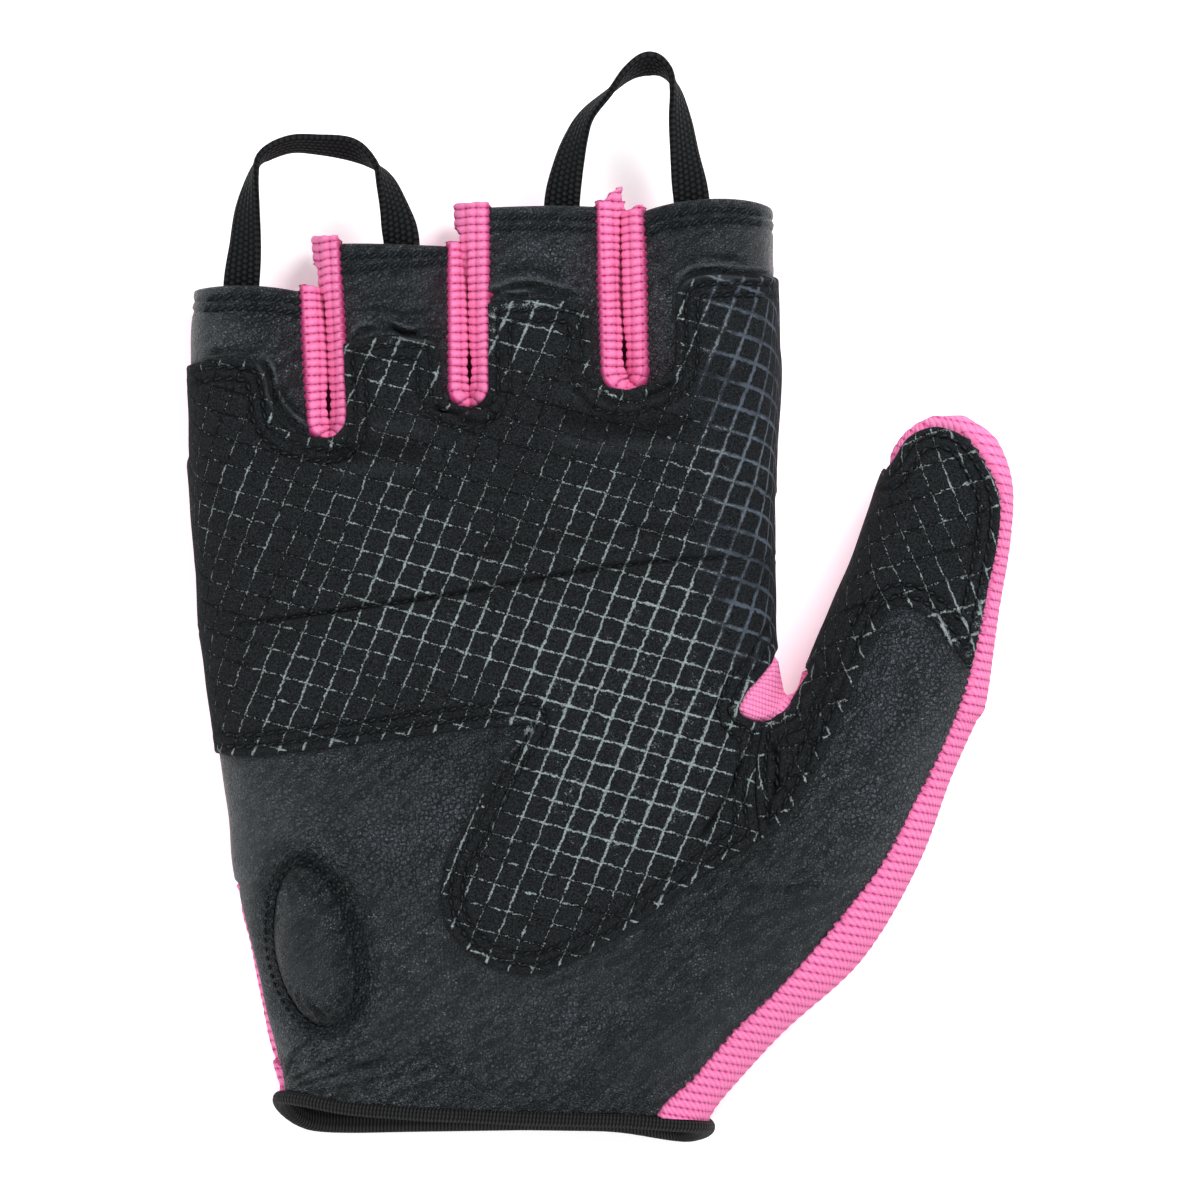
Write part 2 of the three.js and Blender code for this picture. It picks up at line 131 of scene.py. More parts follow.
# Rows of each tube from the wrist on: left x, left y, right x, right y, top, bottom
TUBE_ROWS = {
    "palm": [
        (-53.2, -81.3, 17.3, -86.7, 20.0, -0.6),
        (-55.3, -71.3, 19.7, -74.2, 22.0, -0.6),
        (-58.2, -57.5, 22.7, -60.0, 24.0, -0.6),
        (-60.7, -46.7, 25.0, -46.7, 25.3, -0.6),
        (-62.3, -33.3, 27.0, -33.3, 25.8, -0.6),
        (-64.3, -18.7, 30.2, -18.7, 25.4, -0.6),
        (-66.0, -5.0, 28.5, -5.0, 24.6, -0.6),
        (-67.0, 10.0, 28.4, 9.2, 23.6, -0.6),
        (-67.1, 22.5, 28.3, 38.0, 22.4, -0.6),
    ],
    "little": [
        (-65.4, 8.0, -43.0, 11.7, 18.8, 0.6),
        (-67.6, 23.3, -43.8, 26.2, 20.6, 0.4),
        (-68.1, 33.3, -44.8, 33.3, 20.3, 0.6),
        (-68.1, 42.5, -45.3, 42.5, 19.4, 1.0),
        (-67.8, 51.5, -46.2, 52.3, 18.4, 1.5),
    ],
    "ring": [
        (-46.0, 9.2, -20.0, 13.3, 21.6, 0.6),
        (-45.0, 26.2, -21.2, 30.3, 22.6, 0.4),
        (-44.8, 33.3, -21.7, 35.8, 22.0, 0.5),
        (-45.5, 45.0, -21.9, 46.7, 20.8, 1.0),
        (-46.7, 52.5, -22.2, 55.0, 19.8, 1.4),
        (-47.5, 60.2, -22.4, 59.2, 19.0, 1.8),
    ],
    "middle": [
        (-22.4, 12.5, 5.6, 16.7, 21.6, 0.6),
        (-21.8, 30.3, 5.0, 33.3, 22.8, 0.4),
        (-21.8, 36.7, 4.3, 38.3, 22.2, 0.5),
        (-22.3, 50.0, 3.2, 50.0, 21.0, 1.0),
        (-23.5, 59.2, 3.2, 60.0, 20.2, 1.5),
        (-23.8, 65.3, 3.2, 67.2, 19.6, 2.0),
    ],
    "index": [
        (4.0, 15.0, 27.4, 19.0, 19.0, 0.6),
        (4.9, 33.3, 29.0, 33.3, 21.4, 0.4),
        (4.2, 40.0, 29.3, 42.5, 21.2, 0.6),
        (3.3, 50.0, 29.2, 52.5, 20.8, 1.0),
        (3.2, 57.5, 28.9, 59.2, 20.1, 1.5),
        (3.5, 64.2, 28.6, 65.0, 19.6, 2.0),
    ],
    "thumb": [
        (1.0, -83.0, 17.6, -86.3, 17.0, 0.6),
        (0.0, -73.3, 30.2, -72.3, 21.0, 0.2),
        (6.7, -60.0, 43.5, -60.0, 23.0, 0.2),
        (15.0, -43.3, 52.8, -44.3, 24.5, 0.4),
        (23.3, -28.3, 58.3, -29.7, 24.8, 0.8),
        (29.7, -18.2, 62.4, -20.5, 24.5, 1.6),
        (32.8, -14.3, 64.2, -17.0, 24.2, 1.8),
        (39.1, 0.0, 66.3, -2.0, 23.4, 2.8),
        (42.8, 9.0, 68.2, 9.5, 22.8, 3.4),
        (46.5, 19.7, 68.6, 19.2, 21.8, 4.2),
        (49.5, 26.2, 66.3, 26.2, 19.2, 6.0),
        (52.6, 29.2, 63.0, 29.2, 16.6, 8.6),
        (55.6, 30.6, 60.6, 30.6, 14.4, 10.8),
    ],
}
FINGERS = ("little", "ring", "middle", "index")

# How far each tube runs on past its first and its last row
SPARE = {
    "palm": (5, 0),
    "thumb": (5, 0),
    "little": (0, 3),
    "ring": (0, 3),
    "middle": (0, 3),
    "index": (0, 4),
}

# Each finger's open end: how far it reaches out at its left, in its middle and at its right, and its lean
END_SHAPES = {
    "little": (0.5, 1.0, -1.4, 0.0),
    "ring": (-0.5, 0.2, -0.5, 0.0),
    "middle": (-0.2, 0.3, -1.6, 0.0),
    "index": (-1.4, 1.4, 0.4, 0.13),
}

# Panel outlines as seen from the palm: x, y and 1 at a sharp corner
LEATHER_OUTLINE = [
    (-80, 85, 1), (44, 85, 1), (30, -10, 1), (36, 34, 1), (47.4, 21.5, 1), (48.9, 23.8), (51.3, 27.2),
    (55.8, 28.9), (60.6, 27.2), (63.8, 23), (66, 17.8), (66.1, 11.8), (64.4, 2.2), (61.8, -10.5),
    (57.4, -23), (52.9, -31.9), (46.7, -43.6), (39.4, -53), (30.2, -63.6), (22.2, -71.4), (15.4, -79.4),
    (9.6, -85.4), (7, -96, 1), (-53, -96, 1), (-53.3, -81.3), (-54.7, -72), (-57.15, -60),
    (-59.7, -49.8), (-62.1, -46.2), (-80, -43.6, 1),
]
PALM_GRIP_OUTLINE = [
    (-80, 38.4, 1), (-68.7, 39), (-64, 40), (-58.3, 39.7), (-55.6, 38.3), (-54.4, 34.6), (-53.8, 30.4),
    (-51.8, 28), (-48, 26.7), (-44.8, 27.2, 1), (-43.8, 42.6, 1), (-41, 42.6), (-36, 43.4), (-30, 43.2),
    (-27.4, 42.2), (-26.6, 39), (-26.6, 34.6), (-24.6, 32.2), (-21.6, 32.4, 1), (-20.6, 49, 1),
    (-14, 49.4), (-7, 49.5), (-3, 48.4), (-1.7, 45.6), (-1.5, 38), (0.6, 34.9), (3.8, 34.2), (9, 35.4),
    (12, 37.4), (12.7, 42), (12.7, 49.6), (13.6, 52.2), (16.4, 53.5), (23, 53.9), (33.5, 53.6, 1),
    (33, -8.4, 1), (29.6, -9.6), (26.4, -12.6), (22.8, -18.3, 1), (26.6, -20.4, 1), (26.1, -25),
    (25.7, -31.8), (26.4, -39.6, 1), (19.4, -44), (12.4, -48.8), (4.6, -54.4), (-2.6, -58.6),
    (-9.6, -61.5), (-16.6, -60.8), (-22.8, -56.8), (-26, -50.6), (-25.4, -43.4), (-21.8, -36.8),
    (-17, -27.6), (-12.2, -20.4, 1), (-23, -21.4), (-39.3, -23.6), (-57.3, -25.8), (-64, -25.4),
    (-80, -24, 1),
]
THUMB_GRIP_OUTLINE = [
    (26.8, -20.6, 1), (29.8, -19), (31.7, -17), (27, -8, 1), (36, 34, 1), (47.6, 21.6, 1), (49, 23.6),
    (51.4, 27), (55.8, 28.6), (60.4, 26.9), (63.5, 22.8), (65.7, 17.7), (65.8, 11.8), (64.1, 2.2),
    (61.2, -11.6, 1), (58, -7.6), (55, -3.6), (51.8, -1.4), (49, -1.2), (46.6, -3.2), (44.4, -7.6),
    (40.6, -17.4), (36, -27), (32.4, -33.6), (29, -38), (26.6, -39.5, 1), (25.9, -31.8), (26.3, -25),
]
GUSSET_OUTLINE = [
    (30.6, -6, 1), (34.6, -12, 1), (32.6, -15), (31.2, -17.2), (29, -19.4), (26.7, -20.2),
    (24.2, -19.6), (22.9, -18.2, 1), (24.6, -14.8), (27.6, -11.8), (29, -8.6),
]

# Slots for the knit strips between the fingers: head x, head y, foot x, foot y, radius
SLOTS = {
    "little_ring": (-47.3, 70.0, -45.0, 29.7, 3.3),
    "ring_middle": (-21.9, 76.0, -21.6, 35.3, 3.35),
    "middle_index": (3.0, 76.0, 4.1, 38.0, 3.75),
}

# How far the slit between two fingers lies off the middle of its slot, and how far up it runs
SLITS = {"little_ring": (0.45, 21.5), "ring_middle": (-0.15, 24.0), "middle_index": (0.1, 27.0)}

# How far the knit strips stick out of the fingers' open ends, and the height of the knit windows' feet
STRIP_SPARE = 1.1
WINDOW_FOOT = 5.0

# The heel pad: its middle, half-widths in millimetres and turn in degrees
HEEL_PAD = {"x": -47.2, "y": -57.1, "wide": 8.35, "long": 15.8, "turn": 11.0}

# How far its raised part is set in, the stitches round that, at 1 on its rim, and how many puckers it has
PAD_INSET = 1.95
PAD_STITCH_RING = 1.03
PAD_PUCKERS = 34

# Pull loops: the tape and the pitch of its ridges, then x, y, z and how far its width stands up, in degrees
WEBBING_WIDTH = 6.0
WEBBING_THICK = 1.1
WEBBING_RIDGE = 0.75
LOOP_ROWS = {
    "little_ring": [
        (-59.7, 47, 15.3, 0), (-59.6, 52.3, 15.2, 0), (-59, 58.5, 15.2, 24), (-58.5, 65.5, 15.4, 50),
        (-57.2, 71.9, 15.7, 84), (-55.2, 74.2, 15.8, 104), (-51.3, 75.7, 16, 111),
        (-46.8, 75.6, 16.2, 116), (-41.3, 74.8, 16.4, 122), (-37.7, 72.5, 16.5, 98),
        (-35.8, 69.8, 16.4, 66), (-34.2, 65.2, 16.2, 40), (-33, 59.8, 16.1, 0), (-32.9, 54.5, 16.1, 0),
    ],
    "middle_index": [
        (-6.3, 61, 16.3, 0), (-6.3, 66, 16.1, 8), (-5.5, 71, 16.2, 27), (-4.1, 76.3, 16.4, 50),
        (-2.2, 80.4, 16.6, 68), (1.4, 84.1, 16.8, 84), (4.8, 87.5, 17, 106), (8.2, 89, 17, 124),
        (11, 87.7, 17, 104), (12.5, 84.6, 17, 78), (13.3, 79.7, 16.9, 54), (14.1, 73.7, 16.7, 36),
        (15.2, 66.2, 16.6, 0), (15.3, 61, 16.7, 0),
    ],
}

# The wrist binding's half-thickness in front, and how much taller and thicker it gets behind
BINDING_HALF = 1.15
BINDING_TALLER = 1.15
BINDING_THICKER = 1.35

# The middle of the wrist's opening, and the points worked out round it
WRIST_MIDDLE = (-18.3, -83.5, 10.0)
WRIST_POINTS = 220

# Folds: half-width, depth, and the places that each runs through
FOLDS = [
    (0.50, 0.55, [(-41.4, 43.2), (-39, 44.7), (-34.7, 44.9), (-30.8, 43.7), (-25.6, 43)]),
    (0.40, 0.40, [(-38, 45.9), (-34.7, 45.6), (-32.5, 43.9), (-29.2, 44.5), (-25.2, 43.8)]),
    (0.40, 0.25, [(-41, 47.4), (-37, 48.3), (-32, 47.4), (-27, 48)]),
    (0.50, 0.55, [(-18.8, 49.9), (-16, 51.4), (-11.7, 52), (-6.8, 51.2), (-2.2, 50)]),
    (0.40, 0.35, [(-17.5, 50.8), (-13.4, 50.2), (-9.2, 50.9), (-4, 49.6)]),
    (0.40, 0.22, [(-17, 54.2), (-12, 54.9), (-6, 54)]),
    (0.50, 0.50, [(12.2, 51.6), (15, 53.8), (19.4, 54.5), (24.2, 53.8), (29, 54.1)]),
    (0.40, 0.25, [(13, 56), (18, 57), (24, 56.4)]),
    (0.50, 0.50, [(-56.4, 40.6), (-55, 38), (-54.1, 34.2), (-52.8, 31.3), (-50.4, 29), (-48.2, 27.4)]),
    (0.40, 0.30, [(-53.1, 35.8), (-51.6, 33), (-49.2, 30)]),
    (0.40, 0.30, [(-65, 40.9), (-61, 41.4), (-57.6, 41)]),
    (0.45, 0.30, [(-29, 32.6), (-25, 30.4), (-20, 29.2), (-16, 30.4)]),
    (0.45, 0.30, [(6.4, 33.4), (10, 34.6), (12.8, 36.6)]),
    (1.80, 0.50, [(-47, 23.2), (-37, 24.8), (-27, 24.2)]),
    (1.80, 0.55, [(-10, 30.8), (4, 28.4), (17, 29)]),
    (2.20, 0.40, [(-30, 5), (-12, 9), (6, 11.5), (20, 12)]),
    (0.35, 0.20, [(-52.3, -80.8), (-48, -78), (-42.5, -75), (-37.5, -72.5)]),
    (0.35, 0.20, [(-51.6, -81.3), (-45.8, -79.3), (-39.2, -77), (-31.7, -75)]),
    (0.35, 0.18, [(-52.8, -79.6), (-50.7, -75.3), (-47.5, -72.5)]),
    (0.35, 0.18, [(-48.3, -82), (-40, -80), (-30, -77.7)]),
    (0.35, 0.16, [(-36, -82.6), (-27, -79.5), (-19, -78.4)]),
    (0.50, 0.16, [(16.7, -44.7), (26.7, -47.5), (38.3, -46.7)]),
    (1.20, 0.30, [(-4, -83), (-1, -76), (5, -69)]),
    (0.45, 0.35, [(24, -24), (21, -32), (15, -41)]),
    (0.45, 0.30, [(28.4, -22), (29.4, -29), (27.2, -37)]),
]

# The seam that crosses the palm, and the fold that it makes
QUILT_LINE = [
    (-66, -5), (-54.2, -3.4), (-41, -1.5), (-24.2, 0.9), (-4.3, 4.5), (6.8, 6), (17, 6.8), (28.8, 7.1),
]
QUILT_FOLD = (0.42, 0.45, QUILT_LINE)

# The wrist's edge in front and behind: x and y
WRIST_FRONT = [
    (-54, -81.2), (-50.5, -82), (-42.3, -83.5), (-29, -84.3), (-13.7, -85), (4.8, -85.5), (9.8, -86.1),
    (18, -86.7),
]
WRIST_BACK = [
    (-54, -83.6), (-52, -85.2), (-49, -86), (-41.7, -86.2), (-33.8, -86), (-13, -85.7), (3, -85.9),
    (8, -86.7), (13, -87.9), (18, -87.6),
]

# Where the leather's grain is pebbled, and where its pebbles get painted highlights: x, y, reach, strength
PEBBLED = [
    (52, -12, 15, 1.0), (44, -30, 14, 0.7), (-26, -37, 13, 0.9), (-44, -75, 16, 0.5), (-58, 44, 8, 0.4),
    (-36, 47, 8, 0.5), (-10, 55, 8, 0.5), (10, 48, 6, 0.5), (-10, -72, 14, 0.4), (-50, -35, 10, 0.4),
]

# The middle line of the thumb and its root: y and x
THUMB_MIDDLE = [(-86, 8), (-60, 24), (-30, 40), (0, 52.5), (20, 57.5), (31, 57)]

# The palm's middle, and the flat part of its half-width
PALM_MIDDLE = -19
PALM_FLAT = 36

# The palm's printed grid: where it is anchored, and its two steps
GRID_ANCHOR = (-9.83, -28.33)
GRID_ROW = (3.63, -1.0)
GRID_COLUMN = (1.5, 3.65)

# Where the pale print is strong: x, y, reach, strength
PRINT_PATCHES = [
    (4, -31, 17, 0.95), (24, 22, 10, 0.75), (-8, -9, 15, 0.5), (-13, 46, 8, 0.7), (-33, 14, 17, 0.35),
    (-60, 16, 12, 0.3), (-50, -16, 14, 0.45), (-35, 39, 7, 0.5), (20, 46, 8, 0.5), (13, -16, 12, 0.5),
    (60, -3, 7.5, 0.7), (59, 20, 6.5, 0.5), (50, 8, 9, 0.2), (40, -10, 12, 0.2), (0, 16, 12, 0.4),
    (-17, -51, 11, 0.35), (-30, -2, 13, 0.35), (12, 0, 12, 0.45),
]

# Camera: lens and sensor in millimetres, height of the plane in focus and the view's width there in metres
CAMERA_LENS = 200
CAMERA_SENSOR = 36
CAMERA_PLANE = 0.012
CAMERA_VIEW = 0.2

# Studio lights: place and size in metres, and power in watts
LIGHTS = {
    "key": ((0.34, 0.44, 0.66), 0.32, 6.0),
    "fill": ((-0.35, -0.55, 0.75), 0.9, 5.4),
}
WORLD_STRENGTH = 0.56
FLOOR_GLOW = 0.3


def ramp(value, low, high):
    """Goes from 0 at low to 1 at high."""
    return np.clip((value - low) / (high - low), 0, 1)


def hump(value, reach):
    """A bell curve: 1 where value is 0."""
    return np.exp(-(value / reach) ** 2)


def ripple(value, pitch):
    """Round waves from 0 to 1, one over each pitch."""
    return np.abs(np.sin(value * math.pi / pitch))


def groove(distance, half, depth):
    return -depth * hump(distance, half)


def darker(shadow, more):
    return np.where(more > 0.05, np.maximum(shadow, more), shadow)


def patches(points, base, rows):
    """A base value with soft round patches added, from rows of x, y, reach and strength."""
    total = np.full(len(points), base)
    for x, y, reach, strength in rows:
        apart = np.hypot(points[:, 0] - x, points[:, 1] - y)
        total += strength * hump(apart, reach)
    return total


def unevenness(points, size, seed):
    """Smooth hand-made irregularity, from minus one to one."""
    rng = np.random.default_rng(seed)
    total = np.zeros(len(points))
    for _ in range(7):
        way = rng.normal(size=3)
        way *= 2 * math.pi / size / np.linalg.norm(way)
        total += np.sin(points @ way + rng.uniform(0, 6.28))
    return total / 3.5


def wrist_line(x, z):
    """Where the wrist's edge lies along the glove."""
    front, back = (np.interp(x, *np.array(edge).T) for edge in (WRIST_FRONT, WRIST_BACK))
    return back + (front - back) * ramp(z, 2, 16)


def spline(rows, steps):
    """Rows of numbers on a smooth curve through the given rows."""
    rows = np.asarray(rows, float)
    padded = np.vstack([2 * rows[0] - rows[1], rows, 2 * rows[-1] - rows[-2]])
    shares = np.arange(steps)[:, None] / steps
    curve = []
    for a, b, c, d in zip(padded, padded[1:], padded[2:], padded[3:]):
        curve.append(0.5 * (2 * b + (c - a) * shares + (2 * a - 5 * b + 4 * c - d) * shares ** 2
                            + (3 * b - a - 3 * c + d) * shares ** 3))
    return np.vstack(curve + [rows[-1:]])


def outline_points(outline):
    """A closed outline as points, smooth except at its sharp corners."""
    corners = [i for i, row in enumerate(outline) if len(row) > 2]
    turned = outline[corners[0]:] + outline[:corners[0] + 1]
    pieces, start = [], 0
    for i in range(1, len(turned)):
        if len(turned[i]) > 2:
            pieces.append(spline([row[:2] for row in turned[start:i + 1]], OUTLINE_STEPS)[:-1])
            start = i
    return np.vstack(pieces)


def outline_inside(points, outline):
    """Signed distance of plan points to a closed outline, positive inside it."""
    corners = outline_points(outline)
    x, y = points[:, 0], points[:, 1]
    nearest = np.full(len(points), 1e9)
    inside = np.zeros(len(points), bool)
    for (ax, ay), (bx, by) in zip(corners, np.roll(corners, -1, axis=0)):
        dx, dy = bx - ax, by - ay
        share = np.clip(((x - ax) * dx + (y - ay) * dy) / (dx * dx + dy * dy + 1e-12), 0, 1)
        nearest = np.minimum(nearest, (x - ax - share * dx) ** 2 + (y - ay - share * dy) ** 2)
        if ay != by:
            inside ^= ((ay > y) != (by > y)) & (x < dx * (y - ay) / (by - ay) + ax)
    return np.where(inside, 1, -1) * np.sqrt(nearest)


class Tube:
    """A lofted tube: where a plan point lies across and along it, and how far a point is from its wall."""

    def __init__(self, rows, spare):
        self.rows = spline(rows, TUBE_STEPS)
        self.spare = spare
        left, right = self.rows[:, 0:2], self.rows[:, 2:4]
        across = (right - left) / np.linalg.norm(right - left, axis=1)[:, None]
        self.forward = np.column_stack([-across[:, 1], across[:, 0]])
        self.middle = (left + right) / 2
        hops = np.linalg.norm(np.diff(self.middle, axis=0), axis=1)
        self.length = np.concatenate([[0], np.cumsum(hops)])

    def place(self, x, y):
        """Place across (-1 to 1) and along the tube, its half-width, middle height and half-height."""
        shape = np.shape(x)
        ahead = [(x - m[0]) * f[0] + (y - m[1]) * f[1] for m, f in zip(self.middle, self.forward)]
        best = np.full(shape, 1e9)
        found = [np.zeros(shape) for _ in range(5)]
        last = len(self.rows) - 2
        for i in range(last + 1):
            gap = ahead[i] - ahead[i + 1]
            share = ahead[i] / np.where(np.abs(gap) < 1e-6, 1e-6, gap)
            here = (share >= (0 if i else -1e9)) & (share <= (1 if i < last else 1e9))
            held = np.clip(share, 0, 1)
            a, b = self.rows[i], self.rows[i + 1]
            row = [a[k] + (b[k] - a[k]) * held for k in range(6)]
            dx, dy = row[2] - row[0], row[3] - row[1]
            width = np.hypot(dx, dy)
            across = 2 * ((x - row[0]) * dx + (y - row[1]) * dy) / (width * width) - 1
            along = self.length[i] + share * (self.length[i + 1] - self.length[i])
            better = here & (np.abs(across) < best)
            best = np.where(better, np.abs(across), best)
            values = (across, along, width / 2, (row[4] + row[5]) / 2, (row[4] - row[5]) / 2)
            found = [np.where(better, new, old) for new, old in zip(values, found)]
        found[0] = np.where(best < 1e8, found[0], 9.0)
        found[2] = np.maximum(found[2], 0.1)
        found[4] = np.maximum(found[4], 0.1)
        return found

    def distance(self, place, z):
        """Distance to the wall, negative inside, with flat ends."""
        across, along, half_width, middle_z, half_height = place
        v = (z - middle_z) / half_height
        u = np.clip(np.abs(across), 1e-4, 4)
        power = np.where(v > 0, FRONT_ROUNDNESS, BACK_ROUNDNESS)
        v = np.clip(np.abs(v), 1e-4, 8)
        total = u ** power + v ** power
        root = total ** (1 / power)
        slope = np.hypot(u ** (power - 1) / half_width, v ** (power - 1) / half_height) * root / total
        side = (root - 1) / slope
        beyond = np.maximum(-along - self.spare[0], along - self.length[-1] - self.spare[1])
        return np.maximum(side, beyond)


TUBES = {name: Tube(rows, SPARE[name]) for name, rows in TUBE_ROWS.items()}


def soft_min(a, b, reach):
    """The lesser of two distances, with a fillet of the given reach."""
    share = np.clip(0.5 + 0.5 * (b - a) / reach, 0, 1)
    return b + (a - b) * share - reach * share * (1 - share)


class Skin:
    """The glove's outer surface, as a grid of distances to it."""

    def __init__(self):
        low, high = np.array(GRID_LOW), np.array(GRID_HIGH)
        self.low, self.step = low, VOXEL
        counts = np.ceil((high - low) / VOXEL).astype(int) + 1
        xs, ys, zs = (low[i] + VOXEL * np.arange(counts[i]) for i in range(3))
        plan_x, plan_y = np.meshgrid(xs, ys, indexing="ij")
        heights = zs[None, None, :].astype(np.float32)
        fields = {}
        for name, tube in TUBES.items():
            place = [value[:, :, None].astype(np.float32) for value in tube.place(plan_x, plan_y)]
            fields[name] = tube.distance(place, heights).astype(np.float32)
        fingers = fields["little"]
        for name in FINGERS[1:]:
            fingers = soft_min(fingers, fields[name], 0.5)
        hand = soft_min(fields["palm"], fingers, 3.0)
        whole = soft_min(hand, fields["thumb"], 3.0)
        self.grid = -soft_min(-whole, heights, 0.8)

    def sample(self, points):
        """Distance at any points, from the grid."""
        place = (points - self.low) / self.step
        base = np.clip(np.floor(place).astype(int), 0, np.array(self.grid.shape) - 2)
        share = np.clip(place - base, 0, 1)
        total = np.zeros(len(points))
        for corner in np.ndindex(2, 2, 2):
            weight = np.prod(np.where(corner, share, 1 - share), axis=1)
            i, j, k = (base + corner).T
            total += weight * self.grid[i, j, k]
        return total

    def normals(self, points):
        step = 0.6
        slope = np.column_stack([
            self.sample(points + step * axis) - self.sample(points - step * axis) for axis in np.eye(3)
        ])
        return slope / np.maximum(np.linalg.norm(slope, axis=1), 1e-9)[:, None]

    def settle(self, points, times):
        """Points moved onto the surface."""
        for _ in range(times):
            points = points - self.normals(points) * self.sample(points)[:, None]
        return points

    def above(self, plan):
        """Points of the palm's side of the surface over the given plan points."""
        place = (plan - self.low[:2]) / self.step
        base = np.clip(np.round(place).astype(int), 0, np.array(self.grid.shape[:2]) - 1)
        columns = self.grid[base[:, 0], base[:, 1]]
        inside = columns < 0
        top = inside.shape[1] - 1 - np.argmax(inside[:, ::-1], axis=1)
        top = np.where(inside.any(axis=1), top, inside.shape[1] // 2)
        points = np.column_stack([plan, self.low[2] + self.step * (top + 0.5)])
        for _ in range(4):
            normals = self.normals(points)
            points[:, 2] -= self.sample(points) / np.maximum(normals[:, 2], 0.35)
        return points


def surface_net(field, low, step):
    """Vertices and triangles of the surface where a grid of distances is zero."""
    inside = field < 0
    corners = list(np.ndindex(2, 2, 2))
    spans = [slice(0, -1), slice(1, None)]
    number = sum(inside[spans[i], spans[j], spans[k]].astype(np.int8) for i, j, k in corners)
    cells = np.argwhere((number > 0) & (number < 8))
    ids = np.full(number.shape, -1, np.int32)
    ids[tuple(cells.T)] = np.arange(len(cells))
    values = np.stack([field[tuple((cells + corner).T)] for corner in corners], axis=1).astype(float)
    total, crossings = np.zeros((len(cells), 3)), np.zeros(len(cells))
    for a in range(8):
        for b in range(a + 1, 8):
            hop = np.subtract(corners[b], corners[a])
            if np.abs(hop).sum() == 1:
                crosses = (values[:, a] < 0) != (values[:, b] < 0)
                share = np.where(crosses, values[:, a] / (values[:, a] - values[:, b] + 1e-12), 0)
                total += crosses[:, None] * (np.array(corners[a]) + share[:, None] * hop)
                crossings += crosses
    points = low + step * (cells + total / crossings[:, None])
    quads = []
    for axis in range(3):
        b_axis, c_axis = (axis + 1) % 3, (axis + 2) % 3
        near, far = [slice(1, -1)] * 3, [slice(1, -1)] * 3
        near[axis], far[axis] = slice(0, -1), slice(1, None)
        change = inside[tuple(near)] != inside[tuple(far)]
        edges = np.argwhere(change) + 1
        edges[:, axis] -= 1
        leaves = inside[tuple(edges.T)]
        ring = []
        for db, dc in ((-1, -1), (0, -1), (0, 0), (-1, 0)):
            cell = edges.copy()
            cell[:, b_axis] += db
            cell[:, c_axis] += dc
            ring.append(ids[tuple(cell.T)])
        ring = np.column_stack(ring)
        quads.append(np.where(leaves[:, None], ring, ring[:, ::-1]))
    return points, np.vstack(quads)


def relax(skin, points, quads):
    """Evens out a net of quads on the skin."""
    starts = quads.ravel()
    ends = np.roll(quads, -1, axis=1).ravel()
    count = len(points)
    number = np.bincount(starts, minlength=count) + np.bincount(ends, minlength=count)
    for _ in range(3):
        sums = [
            np.bincount(starts, points[ends, k], count) + np.bincount(ends, points[starts, k], count)
            for k in range(3)
        ]
        mean = np.column_stack(sums) / number[:, None]
        points = skin.settle(points + 0.7 * (mean - points), 1)
    return skin.settle(points, 2)


def triangle_edges(triangles):
    """Every triangle's first edge, then every second and every third one."""
    return np.vstack([triangles[:, [0, 1]], triangles[:, [1, 2]], triangles[:, [2, 0]]])


def compact(points, triangles):
    """The same triangles without the points that they leave out."""
    used, inverse = np.unique(triangles, return_inverse=True)
    return points[used], inverse.reshape(triangles.shape)


def cut(points, triangles, value, keep_both=False):
    """Cuts triangles where value passes zero. Keeps the positive side, or both."""
    positive = value >= 0
    number = positive[triangles].sum(axis=1)
    whole = triangles[(number == 3) | ((number == 0) & keep_both)]
    crossing = triangles[(number == 1) | (number == 2)]
    if len(crossing) == 0:
        return compact(points, whole)
    lone_is_positive = positive[crossing].sum(axis=1) == 1
    odd = np.argmax(positive[crossing] == lone_is_positive[:, None], axis=1)
    a, b, c = np.take_along_axis(crossing, (odd[:, None] + np.arange(3)) % 3, axis=1).T
    pairs = np.sort(np.vstack([np.column_stack([a, b]), np.column_stack([a, c])]), axis=1)
    edges, inverse = np.unique(pairs, axis=0, return_inverse=True)
    inverse = inverse.ravel()
    share = value[edges[:, 0]] / (value[edges[:, 0]] - value[edges[:, 1]])
    fresh = points[edges[:, 0]] + share[:, None] * (points[edges[:, 1]] - points[edges[:, 0]])
    ab, ac = len(points) + inverse[:len(a)], len(points) + inverse[len(a):]
    lone = np.column_stack([a, ab, ac])
    rest = np.vstack([np.column_stack([ab, b, c]), np.column_stack([ab, c, ac])])
    keep_lone = lone_is_positive | keep_both
    keep_rest = np.tile(~lone_is_positive | keep_both, 2)
    return compact(np.vstack([points, fresh]), np.vstack([whole, lone[keep_lone], rest[keep_rest]]))


def subdivide(points, triangles):
    """Splits every triangle into four."""
    edges, inverse = np.unique(np.sort(triangle_edges(triangles), axis=1), axis=0, return_inverse=True)
    middles = len(points) + inverse.reshape(3, -1)
    a, b, c = triangles.T
    ab, bc, ca = middles
    parts = [(a, ab, ca), (ab, b, bc), (ca, bc, c), (ab, bc, ca)]
    points = np.vstack([points, (points[edges[:, 0]] + points[edges[:, 1]]) / 2])
    return points, np.vstack([np.column_stack(part) for part in parts])


def panel_net(region, rings=(), fine=0, folded=False):
    """The stretch of skin where region is positive, with extra edges close to its outline and its folds."""
    points, triangles = SKIN_POINTS, SKIN_TRIANGLES
    value = region(points)
    near = (value[triangles] > -2).any(axis=1)
    points, triangles = compact(points, triangles[near])
    for _ in range(fine):
        points, triangles = subdivide(points, triangles)
        points = SKIN.settle(points, 2)
    points, triangles = cut(points, triangles, region(points))
    for ring in rings:
        points, triangles = cut(points, triangles, region(points) - ring, keep_both=True)
    for reach in (0.25, 0.8, 1.5, 2.4) if folded else ():
        points, triangles = cut(points, triangles, fold_reach(points) - reach, keep_both=True)
    return points, triangles


